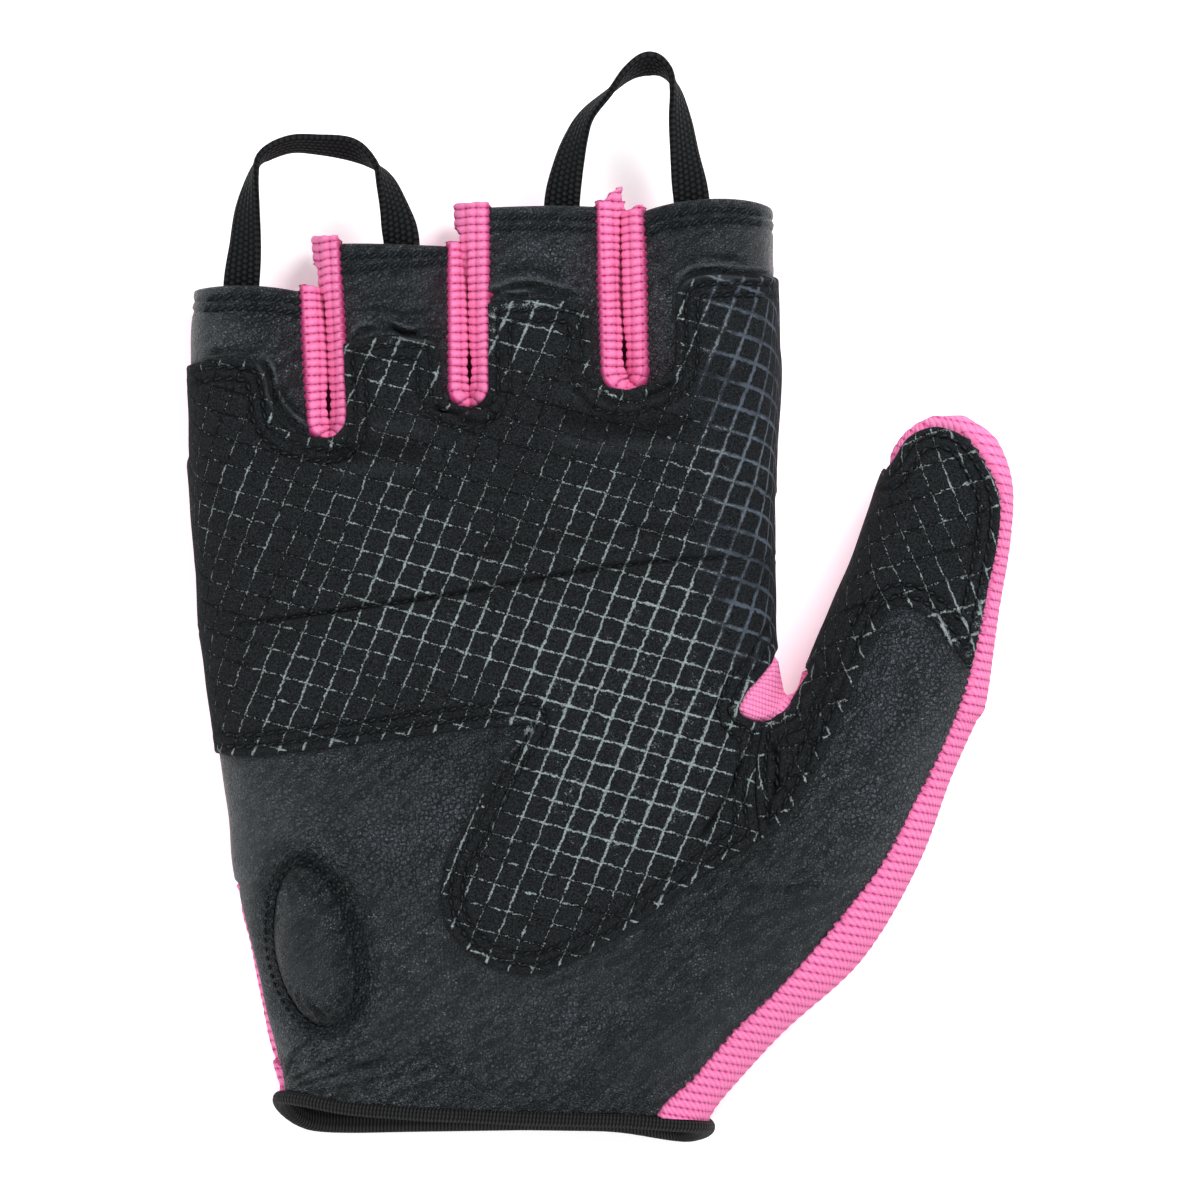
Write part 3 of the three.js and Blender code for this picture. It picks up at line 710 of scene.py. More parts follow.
def rounded_edge(depth, radius):
    """How far an edge of the given radius drops at a depth inside the outline."""
    into = np.clip(radius - depth, 0, radius)
    return radius - np.sqrt(np.maximum(radius ** 2 - into ** 2, 0))


def new_mesh(name, points, faces, smooth=True):
    """A mesh object from points in millimetres and equal-sized faces."""
    mesh = bpy.data.meshes.new(name)
    count, size = faces.shape
    mesh.vertices.add(len(points))
    mesh.vertices.foreach_set("co", (np.asarray(points) * MM).astype(np.float32).ravel())
    mesh.loops.add(count * size)
    mesh.loops.foreach_set("vertex_index", faces.astype(np.int32).ravel())
    mesh.polygons.add(count)
    mesh.polygons.foreach_set("loop_start", (np.arange(count) * size).astype(np.int32))
    mesh.polygons.foreach_set("use_smooth", np.full(count, smooth))
    mesh.update(calc_edges=True)
    mesh.validate()
    piece = bpy.data.objects.new(name, mesh)
    bpy.context.scene.collection.objects.link(piece)
    return piece


def set_fields(piece, **fields):
    """Named numbers on a mesh's points, for its material. Places in a pattern are kept above zero."""
    for name, values in fields.items():
        layer = piece.data.attributes.new(name, "FLOAT", "POINT")
        layer.data.foreach_set("value", np.asarray(values, np.float32))


def closed_wall(name, points, triangles, outer, inner, fields, plain=None):
    """A closed panel: its outer face, its inner face, and a rim between them.

    Its inner face, and the outer points that are called plain, are thinned out.
    """
    normals = SKIN.normals(points)
    number = len(points)
    both = np.vstack([points + normals * np.reshape(offset, (-1, 1)) for offset in (outer, inner)])
    both[:, 2] = np.maximum(both[:, 2], 0)
    edges = triangle_edges(triangles)
    _, first, counts = np.unique(np.sort(edges, axis=1), axis=0, return_index=True, return_counts=True)
    rim = edges[first[counts == 1]]
    a, b = rim.T
    rims = [np.column_stack([b, a, a + number]), np.column_stack([b, a + number, b + number])]
    faces = np.vstack([triangles, triangles[:, ::-1] + number] + rims)
    piece = new_mesh(name, both, faces)
    set_fields(piece, **{key: np.tile(value, 2) for key, value in fields.items()})
    plain = np.zeros(number, bool) if plain is None else plain
    thinned = np.concatenate([plain, np.ones(number, bool)])
    thinned[np.unique(rim)] = False
    thinned[np.unique(rim) + number] = False
    group = piece.vertex_groups.new(name="thinned")
    group.add(np.flatnonzero(thinned).tolist(), 1.0, "REPLACE")
    thin = piece.modifiers.new("thin", "DECIMATE")
    thin.ratio = 1 - THINNING * thinned.mean()
    thin.vertex_group = group.name
    thin.use_collapse_triangulate = True
    apply_modifiers(piece)
    return piece


def apply_modifiers(piece):
    bpy.context.view_layer.update()
    evaluated = piece.evaluated_get(bpy.context.evaluated_depsgraph_get())
    mesh = bpy.data.meshes.new_from_object(evaluated)
    piece.modifiers.clear()
    piece.vertex_groups.clear()
    piece.data = mesh


SKIN = Skin()
SKIN_POINTS, quads = surface_net(SKIN.grid, SKIN.low, SKIN.step)
SKIN_POINTS = relax(SKIN, SKIN_POINTS, quads)
SKIN_TRIANGLES = np.vstack([quads[:, [0, 1, 2]], quads[:, [0, 2, 3]]])


def open_ends(points):
    """Positive on the glove, negative past the fingers' and the wrist's open ends."""
    spans = np.full(len(points), 9.0)
    x, y, z = points.T
    upper = np.flatnonzero((y > FINGER_START) & (x < 38))
    nearest = np.full(len(upper), 1e9)
    for name in FINGERS:
        tube = TUBES[name]
        place = tube.place(x[upper], y[upper])
        apart = np.abs(tube.distance(place, z[upper]))
        closer = apart < nearest
        nearest = np.where(closer, apart, nearest)
        across = np.clip(place[0], -1, 1)
        left, bow, right, lean = END_SHAPES[name]
        shape = left * (1 - across) / 2 + right * (1 + across) / 2 + bow * (1 - across ** 2)
        shape += lean * (z[upper] - place[3])
        spans[upper[closer]] = (tube.length[-1] + shape - place[1] - 0.35)[closer]
    lower = np.flatnonzero(y < -74)
    spans[lower] = y[lower] - wrist_line(x[lower], z[lower]) - 0.2
    return np.minimum(spans, 9)


def slot_inside(points, slot):
    """Distance inside a slot's outline."""
    head_x, head_y, foot_x, foot_y, radius = slot
    dx, dy = head_x - foot_x, head_y - foot_y
    x, y = points[:, 0] - foot_x, points[:, 1] - foot_y
    share = np.clip((x * dx + y * dy) / (dx * dx + dy * dy), 0, 1)
    return radius - np.hypot(x - share * dx, y - share * dy)


def window_inside(points):
    """Distance inside the nearest window of knit: the finger slots and the thumb's gusset."""
    above_foot = points[:, 2] - WINDOW_FOOT
    slots = [slot_inside(points, slot) for slot in SLOTS.values()]
    gusset = outline_inside(points, GUSSET_OUTLINE)
    return np.minimum(np.max(slots + [gusset], axis=0), above_foot)


def leather_inside(points):
    """Distance inside the leather's outline, or above the seam round the sides."""
    return np.minimum(outline_inside(points, LEATHER_OUTLINE), points[:, 2] - SEAM_HEIGHT)


def line_distance(points, line):
    """Distance of plan points to a line through places, and the share of its length nearest to each."""
    nearest, share = np.full(len(points), 1e9), np.zeros(len(points))
    corners = spline(line, LINE_STEPS)
    last = len(corners) - 1
    for i in range(last):
        a, way = corners[i], corners[i + 1] - corners[i]
        offset = points[:, :2] - a
        held = np.clip(offset @ way / (way @ way), 0, 1)
        apart = np.hypot(*(offset - held[:, None] * way).T)
        closer = apart < nearest
        nearest = np.where(closer, apart, nearest)
        share = np.where(closer, (i + held) / last, share)
    return nearest, share


def near_folds(points):
    """For each fold: half-width, depth, the points near it, their distance and share of its length."""
    wander = 0.35 * unevenness(points, 4, 8)
    plan = points[:, :2]
    for half, deep, line in FOLDS + [QUILT_FOLD]:
        low, high = np.min(line, axis=0) - 4 * half - 1, np.max(line, axis=0) + 4 * half + 1
        near = np.flatnonzero(np.all((plan > low) & (plan < high), axis=1) & (points[:, 2] > PALM_SIDE))
        if len(near):
            apart, share = line_distance(points[near], line)
            apart = apart + (wander[near] if line is not QUILT_LINE else 0) * min(half, 0.6)
            yield half, deep, near, apart, share


def fold_reach(points):
    """How many half-widths each point lies from its nearest fold."""
    reach = np.full(len(points), 9.0)
    for half, _, near, apart, _ in near_folds(points):
        reach[near] = np.minimum(reach[near], np.abs(apart) / half)
    return reach


def folds(points):
    """Depth of the folds at each point, and its shade: above zero in shadow, below zero where lit."""
    depth, shadow, lit = np.zeros((3, len(points)))
    for half, deep, near, apart, share in near_folds(points):
        fade = ramp(share, -0.02, 0.18) * ramp(share, 1.02, 0.82)
        valley = hump(apart, half)
        bank = hump(apart - 2.1 * half, 1.1 * half)
        depth[near] += 1.45 * deep * fade * (valley - 0.75 * bank)
        shadow[near] = np.maximum(shadow[near], fade * valley * min(1, 1.8 * deep / half))
        crest = hump(apart - 1.9 * half, 0.7 * half) * (deep > 0.46)
        lit[near] = np.maximum(lit[near], fade * crest * min(1, 1.2 * deep / half))
    return depth, np.where(shadow > 0.25, shadow, -lit)


def wrist_ledge(points):
    """Evens out the skin at the wrist's little-finger side."""
    return 0.5 * ramp(points[:, 1], -76.2, -76.8) * ramp(points[:, 0], -45, -50)


def swell(points):
    """Gentle unevenness of everything that the hand would fill out."""
    broad = SWELL_BROAD * unevenness(points, 22, 3)
    return broad + SWELL_SMALL * unevenness(points, 8, 4) - wrist_ledge(points)


class Look:
    """A material while its nodes are put together."""

    def __init__(self, name, **sockets):
        self.material = bpy.data.materials.new(name)
        self.material.use_nodes = True
        self.nodes = self.material.node_tree.nodes
        self.links = self.material.node_tree.links
        self.shader = self.nodes["Principled BSDF"]
        for socket, value in sockets.items():
            self.shader.inputs[socket.replace("_", " ")].default_value = value
        self.place = self.node("ShaderNodeTexCoord").outputs["Object"]

    def node(self, kind, inputs=(), **settings):
        fresh = self.nodes.new(kind)
        for key, value in settings.items():
            setattr(fresh, key, value)
        for key, value in dict(inputs).items():
            if isinstance(value, bpy.types.NodeSocket):
                self.links.new(value, fresh.inputs[key])
            else:
                fresh.inputs[key].default_value = value
        return fresh

    def math(self, operation, a, b=0.0):
        """One sum worked out by the material."""
        return self.node("ShaderNodeMath", {0: a, 1: b}, operation=operation).outputs[0]

    def add(self, *values):
        total = values[0]
        for value in values[1:]:
            total = self.math("ADD", total, value)
        return total

    def times(self, *values):
        total = values[0]
        for value in values[1:]:
            total = self.math("MULTIPLY", total, value)
        return total

    def rest(self, value):
        """What is left of one."""
        return self.math("SUBTRACT", 1.0, value)

    def fade(self, value, low, high, at_low=0.0, at_high=1.0):
        """Goes smoothly from at_low to at_high while value goes from low to high."""
        inputs = {"Value": value, "From Min": low, "From Max": high, "To Min": at_low, "To Max": at_high}
        return self.node("ShaderNodeMapRange", inputs, interpolation_type="SMOOTHSTEP").outputs[0]

    def noise(self, size, detail, roughness=0.5, place=None):
        """Noise from 0 to 1 of the given size in millimetres."""
        inputs = {"Vector": place or self.place, "Scale": 1 / MM / size, "Detail": detail}
        inputs["Roughness"] = roughness
        return self.node("ShaderNodeTexNoise", inputs).outputs["Fac"]

    def sway(self, size, detail, reach, roughness=0.5):
        """Noise about zero."""
        swing = self.math("SUBTRACT", self.noise(size, detail, roughness), 0.5)
        return self.times(swing, reach)

    def stretched(self, turn, times):
        """Places whose patterns come out longer by the given number of times, along a turned direction."""
        inputs = {"Vector": self.place, "Rotation": (0, 0, -math.radians(turn))}
        turned = self.node("ShaderNodeMapping", inputs, vector_type="POINT").outputs[0]
        return self.node("ShaderNodeMapping", {"Vector": turned, "Scale": (1 / times, 1, 1)}).outputs[0]

    def cells(self, size):
        """Distance to the edges of a pattern of cells of the given size in millimetres."""
        inputs = {"Vector": self.place, "Scale": 1 / MM / size}
        return self.node("ShaderNodeTexVoronoi", inputs, feature="DISTANCE_TO_EDGE").outputs["Distance"]

    def field(self, name):
        """A number stored on the mesh's points."""
        return self.node("ShaderNodeAttribute", attribute_name=name).outputs["Fac"]

    def shadow(self):
        return self.math("MAXIMUM", self.field("shadow"), 0.0)

    def lit(self, most):
        return self.fade(self.field("shadow"), 0, -1, 0, most)

    def wave(self, value, pitch):
        """Rises from 0 to 1 and falls back to 0 over each pitch."""
        return self.math("DIVIDE", self.math("PINGPONG", value, pitch / 2), pitch / 2)

    def blend(self, share, a, b):
        inputs = {0: share, 6: a, 7: b}
        return self.node("ShaderNodeMix", inputs, data_type="RGBA").outputs[2]

    def finish(self, colour, roughness, height, depth):
        """Links colour, roughness and relief. Depth is the relief's height in millimetres."""
        self.links.new(colour, self.shader.inputs["Base Color"])
        if roughness is not None:
            self.links.new(roughness, self.shader.inputs["Roughness"])
        relief = self.node("ShaderNodeBump", {"Distance": depth * MM, "Height": height})
        self.links.new(relief.outputs["Normal"], self.shader.inputs["Normal"])
        return self.material


def black(level, blue=1.0):
    """A charcoal of the given brightness, a little blue."""
    return (level, level * (1 + 0.22 * blue), level * (1 + 0.45 * blue), 1)


def leather_look(name, gloss):
    look = Look(name, Specular_IOR_Level=gloss, Specular_Tint=(0.82, 0.93, 1.0, 1))
    patch = look.times(look.field("pebbled"), look.fade(look.noise(9, 2), 0.3, 0.6, 0.4, 1.0))
    pebble = look.fade(look.cells(0.8), 0.0, 0.28)
    grain = look.fade(look.cells(0.46), 0.0, 0.25)
    fine = look.noise(0.2, 3, 0.65)
    creases = look.fade(look.noise(1.3, 3, 0.6, look.stretched(38, 3.2)), 0.36, 0.56)
    height = look.add(look.times(pebble, patch, 1.1), look.times(grain, 0.45))
    height = look.add(height, look.times(fine, 0.5), look.times(creases, 0.45))
    # Grain tone from the relief: lighter on the tops, and darker in the hollows as painted shade
    grain_shading = look.fade(height, 0.55, 1.45)
    # Painted highlights: pale specks on the grain's tops, gathered in broad patches, stand in for glints of
    # light
    glint_patches = look.fade(look.noise(11, 3), 0.35, 0.65, 0.4, 1)
    speckle_glints = look.times(look.fade(look.noise(0.34, 3, 0.75), 0.53, 0.66), glint_patches)
    colour = look.blend(grain_shading, black(0.0008, 0.8), black(0.0215, 0.8))
    colour = look.blend(look.times(speckle_glints, grain_shading), colour, black(0.20, 0.6))
    # Painted highlights: the lit banks of folds and the tops of pebbles are drawn lighter
    lit = look.times(look.lit(1.0), look.fade(fine, 0.3, 0.6, 0.3, 1))
    pebble_highlights = look.times(look.fade(pebble, 0.5, 0.95), patch, look.fade(fine, 0.35, 0.6), 0.55)
    lit = look.add(lit, pebble_highlights)
    colour = look.blend(look.times(lit, 0.8), colour, black(0.085, 0.6))
    shadow = look.shadow()
    colour = look.blend(look.times(shadow, 0.92), colour, black(0.0006))
    roughness = look.add(look.fade(look.noise(0.5, 2), 0.3, 0.7, 0.26, 0.44), look.times(shadow, 0.2))
    return look.finish(colour, roughness, height, 0.5)


def suede_look():
    look = Look("napped_suede", Specular_IOR_Level=0.08, Sheen_Weight=0.02, Sheen_Roughness=0.6)
    wobble = look.add(look.sway(2.4, 3, 0.16), look.sway(0.7, 3, 0.17))
    rough = look.sway(0.34, 4, 2.4, 0.8)
    broken = look.sway(1.8, 4, 2.0, 0.75)
    strength, worn = look.field("print"), look.field("worn")
    grooves, inks, bands = [], [], []
    for name, share in (("row", 1.1), ("column", 0.9)):
        across = look.wave(look.add(look.field(name), wobble, 0.5), 1.0)
        grooves.append(look.fade(across, 0.84, 0.96))
        ink = look.add(look.fade(across, 0.80, 0.99), rough, broken, look.times(strength, 1.1 * share))
        inks.append(look.fade(ink, 1.52, 1.84))
        bands.append(look.fade(look.add(across, look.times(rough, 0.04)), 0.78, 0.89))
    groove = look.math("MAXIMUM", *grooves)
    pale = look.math("MAXIMUM", *inks)
    band = look.times(look.math("MAXIMUM", *bands), worn, look.fade(look.noise(5, 3), 0.35, 0.6, 0.3, 1.0))
    glow = look.times(pale, look.fade(look.noise(0.3, 2), 0.3, 0.65, 0.4, 1.0))
    glow = look.times(glow, look.fade(strength, 0.1, 0.8, 0.65, 1.0), look.rest(look.times(worn, 0.75)))
    nap = look.noise(0.28, 4, 0.8)
    colour = look.blend(look.fade(nap, 0.38, 0.72), black(0.0012, 0.8), black(0.027, 0.8))
    colour = look.blend(look.times(groove, 0.85), colour, black(0.0012))
    colour = look.blend(band, colour, (0.072, 0.09, 0.118, 1))
    colour = look.blend(glow, colour, (0.27, 0.32, 0.325, 1))
    colour = look.blend(look.lit(0.35), colour, black(0.06, 0.6))
    shadow = look.shadow()
    colour = look.blend(look.times(shadow, 0.88), colour, black(0.0008))
    height = look.add(look.times(groove, -1.0), look.times(nap, 0.55))
    height = look.add(height, look.times(pale, 0.35), look.times(band, 0.9))
    return look.finish(colour, look.fade(pale, 0, 1, 0.95, 0.6), height, 0.19)


# The knits' fuzz, their colour on top, and the dark pink painted into their holes and sunk places as shade
KNIT_SHEEN = {"Sheen_Weight": 0.12, "Sheen_Roughness": 0.4, "Sheen_Tint": (1.0, 0.6, 0.8, 1)}
PINK = (1.0, 0.285, 0.55, 1)
PINK_IN_SHADE = (0.30, 0.008, 0.085, 1)


def knit_look(name, rib, stitch, shaded_pink, depth, contrast, holes, slant=0.35, dots=None):
    look = Look(name, Specular_IOR_Level=0.12, Roughness=0.75, **KNIT_SHEEN)
    along, across = look.field("along"), look.field("across")
    ridge = look.wave(along, rib)
    loop = look.wave(look.add(across, look.times(along, slant)), stitch)
    fuzz = look.noise(0.4, 4, 0.8)
    dome = look.math("SQRT", look.rest(look.math("POWER", look.rest(ridge), 2.0)))
    height = look.add(dome, look.times(look.math("SQRT", loop), 0.55), look.times(fuzz, 0.6))
    # Painted shade: the creases between ribs and between loops are drawn in a darker pink; the fuzz adds
    # random darker specks of the knit's own
    low = look.math("POWER", look.rest(ridge), 1.5)
    between = look.math("POWER", look.rest(loop), 2.2)
    shade = look.add(look.times(low, 0.8 * contrast), look.times(between, 0.4 * contrast))
    shade = look.add(shade, look.fade(fuzz, 0.52, 0.30, 0.0, 0.5))
    dot = look.wave(across, dots) if dots else loop
    pricked = look.add(look.fade(dot, 0.6, 0.15, 0, 0.55), look.fade(loop, 0.35, 0.08, 0, 0.45))
    # Painted shade: the holes between stitches and the sunk places that the depth field marks are drawn in
    # dark pink
    hole = look.times(look.fade(look.add(ridge, look.times(fuzz, 0.5)), 0.62, 0.3), pricked, holes)
    sunk = look.fade(look.field("depth"), 0.25, 2.0, 0.0, 0.95)
    colour = look.blend(look.math("MINIMUM", shade, 1.0), PINK, shaded_pink)
    colour = look.blend(look.math("MAXIMUM", hole, sunk), colour, PINK_IN_SHADE)
    return look.finish(colour, None, height, depth)


def tape_look(name, rib, stitch, cross, level, blue):
    """Woven or ribbed tape: pitch of its ribs and stitches, how far it is woven, and its brightness. Its
    raised threads are painted lighter as highlights, and the hollows between them nearly black as painted
    shade.
    """
    look = Look(name, Specular_IOR_Level=0.14)
    along, across = look.field("along"), look.field("across")
    warp = look.wave(across, stitch)
    shift = look.times(look.math("FLOOR", look.math("DIVIDE", across, stitch)), rib / 2 * cross)
    weft = look.wave(look.add(along, shift), rib)
    height = look.add(look.times(look.math("SQRT", warp), cross), look.math("SQRT", weft))
    height = look.add(height, look.times(look.noise(0.2, 3), 0.4))
    # Painted highlight and shade: raised threads lighter, the hollows between them darker
    raised = look.fade(height, 0.5 + 0.5 * cross, 1.3 + 0.9 * cross)
    colour = look.blend(raised, black(0.0004, blue), black(level, blue))
    return look.finish(colour, look.fade(height, 0.5, 2.2, 0.9, 0.6), height, 0.3)


def thread_look():
    look = Look("black_thread", Specular_IOR_Level=0.3, Specular_Tint=(0.7, 0.86, 1.0, 1))
    twist = look.noise(0.25, 2)
    colour = look.blend(twist, black(0.0006), black(0.0045))
    return look.finish(colour, look.fade(twist, 0.3, 0.7, 0.6, 0.42), twist, 0.06)


LEATHER = leather_look("grained_leather", 0.5)
PAD_LEATHER = leather_look("smooth_leather", 0.4)
SUEDE = suede_look()
KNIT = knit_look(
    "ribbed_knit", KNIT_RIB, 0.75, (0.84, 0.12, 0.36, 1), depth=0.40, contrast=0.85, holes=0.75,
)
STRIP_KNIT = knit_look(
    "strip_knit", STRIP_BEAD, STRIP_COLUMN, (0.84, 0.115, 0.34, 1),
    depth=0.42, contrast=0.8, holes=0.75, slant=0.0, dots=STRIP_COLUMN / 2,
)
JERSEY = knit_look("fine_jersey", 0.8, 0.55, (0.72, 0.07, 0.27, 1), depth=0.25, contrast=0.15, holes=0.12)
WEBBING = tape_look("woven_webbing", rib=0.95, stitch=1.0, cross=1.0, level=0.0105, blue=0.9)
ELASTIC = tape_look("ribbed_elastic", rib=0.6, stitch=0.9, cross=0.3, level=0.026, blue=0.1)
THREAD = thread_look()


def dress(piece, material, node=None):
    """Gives a piece its material and its body, and hides the solid that it replaces."""
    piece.data.materials.clear()
    piece.data.materials.append(material)
    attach(piece, "root")
    if node:
        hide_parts(node)


def isolines(points, triangles, value):
    """Chains of points where value is zero on a mesh."""
    edges = np.sort(triangle_edges(triangles), axis=1)
    positive = value >= 0
    crossed = positive[edges[:, 0]] != positive[edges[:, 1]]
    keys, inverse = np.unique(edges[crossed], axis=0, return_inverse=True)
    share = value[keys[:, 0]] / (value[keys[:, 0]] - value[keys[:, 1]])
    places = points[keys[:, 0]] + share[:, None] * (points[keys[:, 1]] - points[keys[:, 0]])
    owners = {}
    for key, triangle in zip(inverse.ravel(), np.flatnonzero(crossed) % len(triangles)):
        owners.setdefault(triangle, []).append(key)
    nexts = {}
    for a, b in owners.values():
        nexts.setdefault(a, []).append(b)
        nexts.setdefault(b, []).append(a)
    chains, left = [], set(nexts)
    for start in sorted(nexts, key=lambda key: (len(nexts[key]), key)):
        if start not in left:
            continue
        chain, here = [start], start
        left.discard(start)
        while True:
            ahead = [key for key in nexts[here] if key in left]
            if not ahead:
                break
            here = ahead[0]
            left.discard(here)
            chain.append(here)
        if start in nexts[here] and len(chain) > 2:
            chain.append(start)
        chains.append(places[chain])
    return chains


def even_steps(chain, pitch):
    """Points at even steps along a chain, and the chain's direction at each."""
    lengths = np.concatenate([[0], np.cumsum(np.linalg.norm(np.diff(chain, axis=0), axis=1))])
    count = int(lengths[-1] // pitch)
    if count < 3:
        return np.zeros((0, 3)), np.zeros((0, 3))
    places = (np.arange(count) + 0.5) * lengths[-1] / count

    def at(where):
        return np.column_stack([np.interp(where, lengths, chain[:, k]) for k in range(3)])
    way = at(places + pitch * 0.6) - at(places - pitch * 0.6)
    return at(places), way / np.maximum(np.linalg.norm(way, axis=1), 1e-9)[:, None]


class Threads:
    """Sewing thread, gathered stitch by stitch into one mesh."""

    SIDES = 6
    STEPS = 5

    def __init__(self):
        self.points, self.quads, self.total = [], [], 0

    def sew(self, chain, stitch, keep=None):
        """Stitches along a chain of points, on the palm's side and where keep says so."""
        pitch, long, radius, tilt, sit = stitch
        middles, ways = even_steps(chain, pitch)
        if keep is not None and len(middles):
            middles, ways = middles[keep(middles)], ways[keep(middles)]
        if len(middles) == 0:
            return
        ups = SKIN.normals(middles)
        facing = ups[:, 2] > 0.7
        middles, ways, ups = middles[facing], ways[facing], ups[facing]
        sides = np.cross(ups, ways)
        angle = math.radians(tilt) + 0.06 * RNG.normal(size=(len(middles), 1))
        ways = ways * np.cos(angle) + sides * np.sin(angle)
        sides = np.cross(ups, ways)
        around = np.arange(self.SIDES) * 2 * math.pi / self.SIDES
        for step in range(self.STEPS):
            t = step / (self.STEPS - 1) * 2 - 1
            fat = radius * (1 - abs(t) ** 3) ** 0.5 if abs(t) < 1 else 0.02
            lift = sit + 0.10 * (1 - t * t) - 0.22 * t ** 4
            centres = middles + ways * (t * long / 2) + ups * lift
            for turn in around:
                self.points.append(centres + fat * (math.cos(turn) * sides + math.sin(turn) * ups))
        count, ring = len(middles), self.SIDES
        for step in range(self.STEPS - 1):
            for side in range(ring):
                ahead = (side + 1) % ring
                self.add_quads([(step, side), (step, ahead), (step + 1, ahead), (step + 1, side)], count)
        last = self.STEPS - 1
        for cap in ((0, 1, 2, 3), (0, 3, 4, 5)):
            self.add_quads([(0, side) for side in cap[::-1]], count)
            self.add_quads([(last, side) for side in cap], count)
        self.total += self.STEPS * ring * count

    def add_quads(self, corners, count):
        """The same quad on each of a number of stitches, from the step and side of its corners."""
        starts = [self.total + (step * self.SIDES + side) * count for step, side in corners]
        self.quads.append(np.array(starts) + np.arange(count)[:, None])

    def mesh(self, name):
        return new_mesh(name, np.vstack(self.points), np.vstack(self.quads))


STITCHES = Threads()


def pad_place(points, inset=0.0):
    """Place in the heel pad's own ellipse, or in one set in by so much: 1 on its rim."""
    turn = math.radians(HEEL_PAD["turn"])
    x, y = points[:, 0] - HEEL_PAD["x"], points[:, 1] - HEEL_PAD["y"]
    side = x * math.cos(turn) + y * math.sin(turn)
    along = -x * math.sin(turn) + y * math.cos(turn)
    long = HEEL_PAD["long"] - 1.15 * inset
    wide = (HEEL_PAD["wide"] - inset) * (1 - 0.09 * along / long)
    return np.hypot(side / wide, along / long) + 10 * (points[:, 2] < PALM_SIDE)


def on_fingers(points):
    return points[:, 1] > FINGER_START


def make_leather():
    def region(points):
        inside = np.minimum(leather_inside(points) + serration(points), -window_inside(points))
        inside = np.minimum(inside, open_ends(points))
        return np.minimum(inside, (pad_place(points) - 0.97) * 8)
    points, triangles = panel_net(region, LEATHER_RINGS, folded=True)
    edge = region(points)
    ends = open_ends(points)
    hems = on_fingers(points)
    depth, shadow = folds(points)
    outer = swell(points) - rounded_edge(edge, LEATHER_EDGE) - depth
    outer += HEM_HEIGHT * ramp(np.abs(ends - 2.2), 2.52, 0.72) * hems
    for row in HEM_ROWS:
        outer += groove(ends - row, GROOVE_HALF, HEM_GROOVE) * hems
        for chain in isolines(points, triangles, ends - row):
            STITCHES.sew(chain, HEM_STITCH, on_fingers)
        shadow = darker(shadow, 0.8 * hump(ends - row, 0.42) * hems)
    rim = pad_place(points)
    outer += groove((rim - 1.0) * 9, 1.2, PAD_DITCH) + 0.3 * hump((rim - 1.28) * 9, 1.6)
    grips = [outline_inside(points, outline) for outline in (PALM_GRIP_OUTLINE, THUMB_GRIP_OUTLINE)]
    under = np.max(grips, axis=0)
    shadow = darker(shadow, 0.85 * hump(np.maximum(-under, 0), 0.6))
    covered = (under > 2) & (edge > 2) & (points[:, 2] > SEAM_HEIGHT + 3)
    fields = {"shadow": shadow, "pebbled": patches(points, 0.15, PEBBLED)}
    return closed_wall("palm_leather_panel", points, triangles, outer, -LEATHER_WALL, fields, covered)


def rib_place(points):
    """The back's ribs run across the glove, a little down towards the thumb."""
    return points[:, 1] + 0.2 * points[:, 0]


def serration(points):
    """Teeth along the thumb's side, where the knit's ribs bite into the leather's edge."""
    x, y, _ = points.T
    beyond = x - np.interp(y, *np.array(THUMB_MIDDLE).T)
    near = ramp(beyond, 0, 3) * (0.75 + 0.35 * unevenness(points, 9, 15))
    return 0.9 * near * (np.abs(np.mod(rib_place(points) / KNIT_RIB, 1) * 2 - 1) - 0.5)


def make_back():
    def region(points):
        outside = TUCK - leather_inside(points)
        return np.minimum(np.minimum(outside, TUCK * 0.5 - window_inside(points)), open_ends(points))
    points, triangles = panel_net(region)
    clear = np.minimum(-leather_inside(points) - serration(points), -window_inside(points))
    rise = ramp(clear, 0, 0.8)
    rise = rise * rise * (3 - 2 * rise)
    x, y, z = points.T
    outer = -LEATHER_WALL - 0.05 + (LEATHER_WALL + 0.15) * rise - wrist_ledge(points)
    sliver = ramp(y, -45, -50) * ramp(y, -80, -73) * ramp(x, -40, -45)
    outer += 0.6 * sliver * rise * ramp(z, 0, 3)
    along = rib_place(points)
    across = x + SKIN.normals(points)[:, 0] * (12 - z)
    outer += RIB_HEIGHT * rise * (ripple(along, KNIT_RIB) ** 0.7 - 0.7) * ramp(z, 0, 2)
    inner = -LEATHER_WALL - KNIT_WALL
    # The depth field paints shade where the knit dips under the leather's edge
    fields = {"along": along + 200, "across": across + 200, "depth": 1.2 * ramp(clear, 0.7, -0.3)}
    lying = (z < 0.02) & (clear > 2)
    return closed_wall("back_knit_panel", points, triangles, outer, inner, fields, lying)


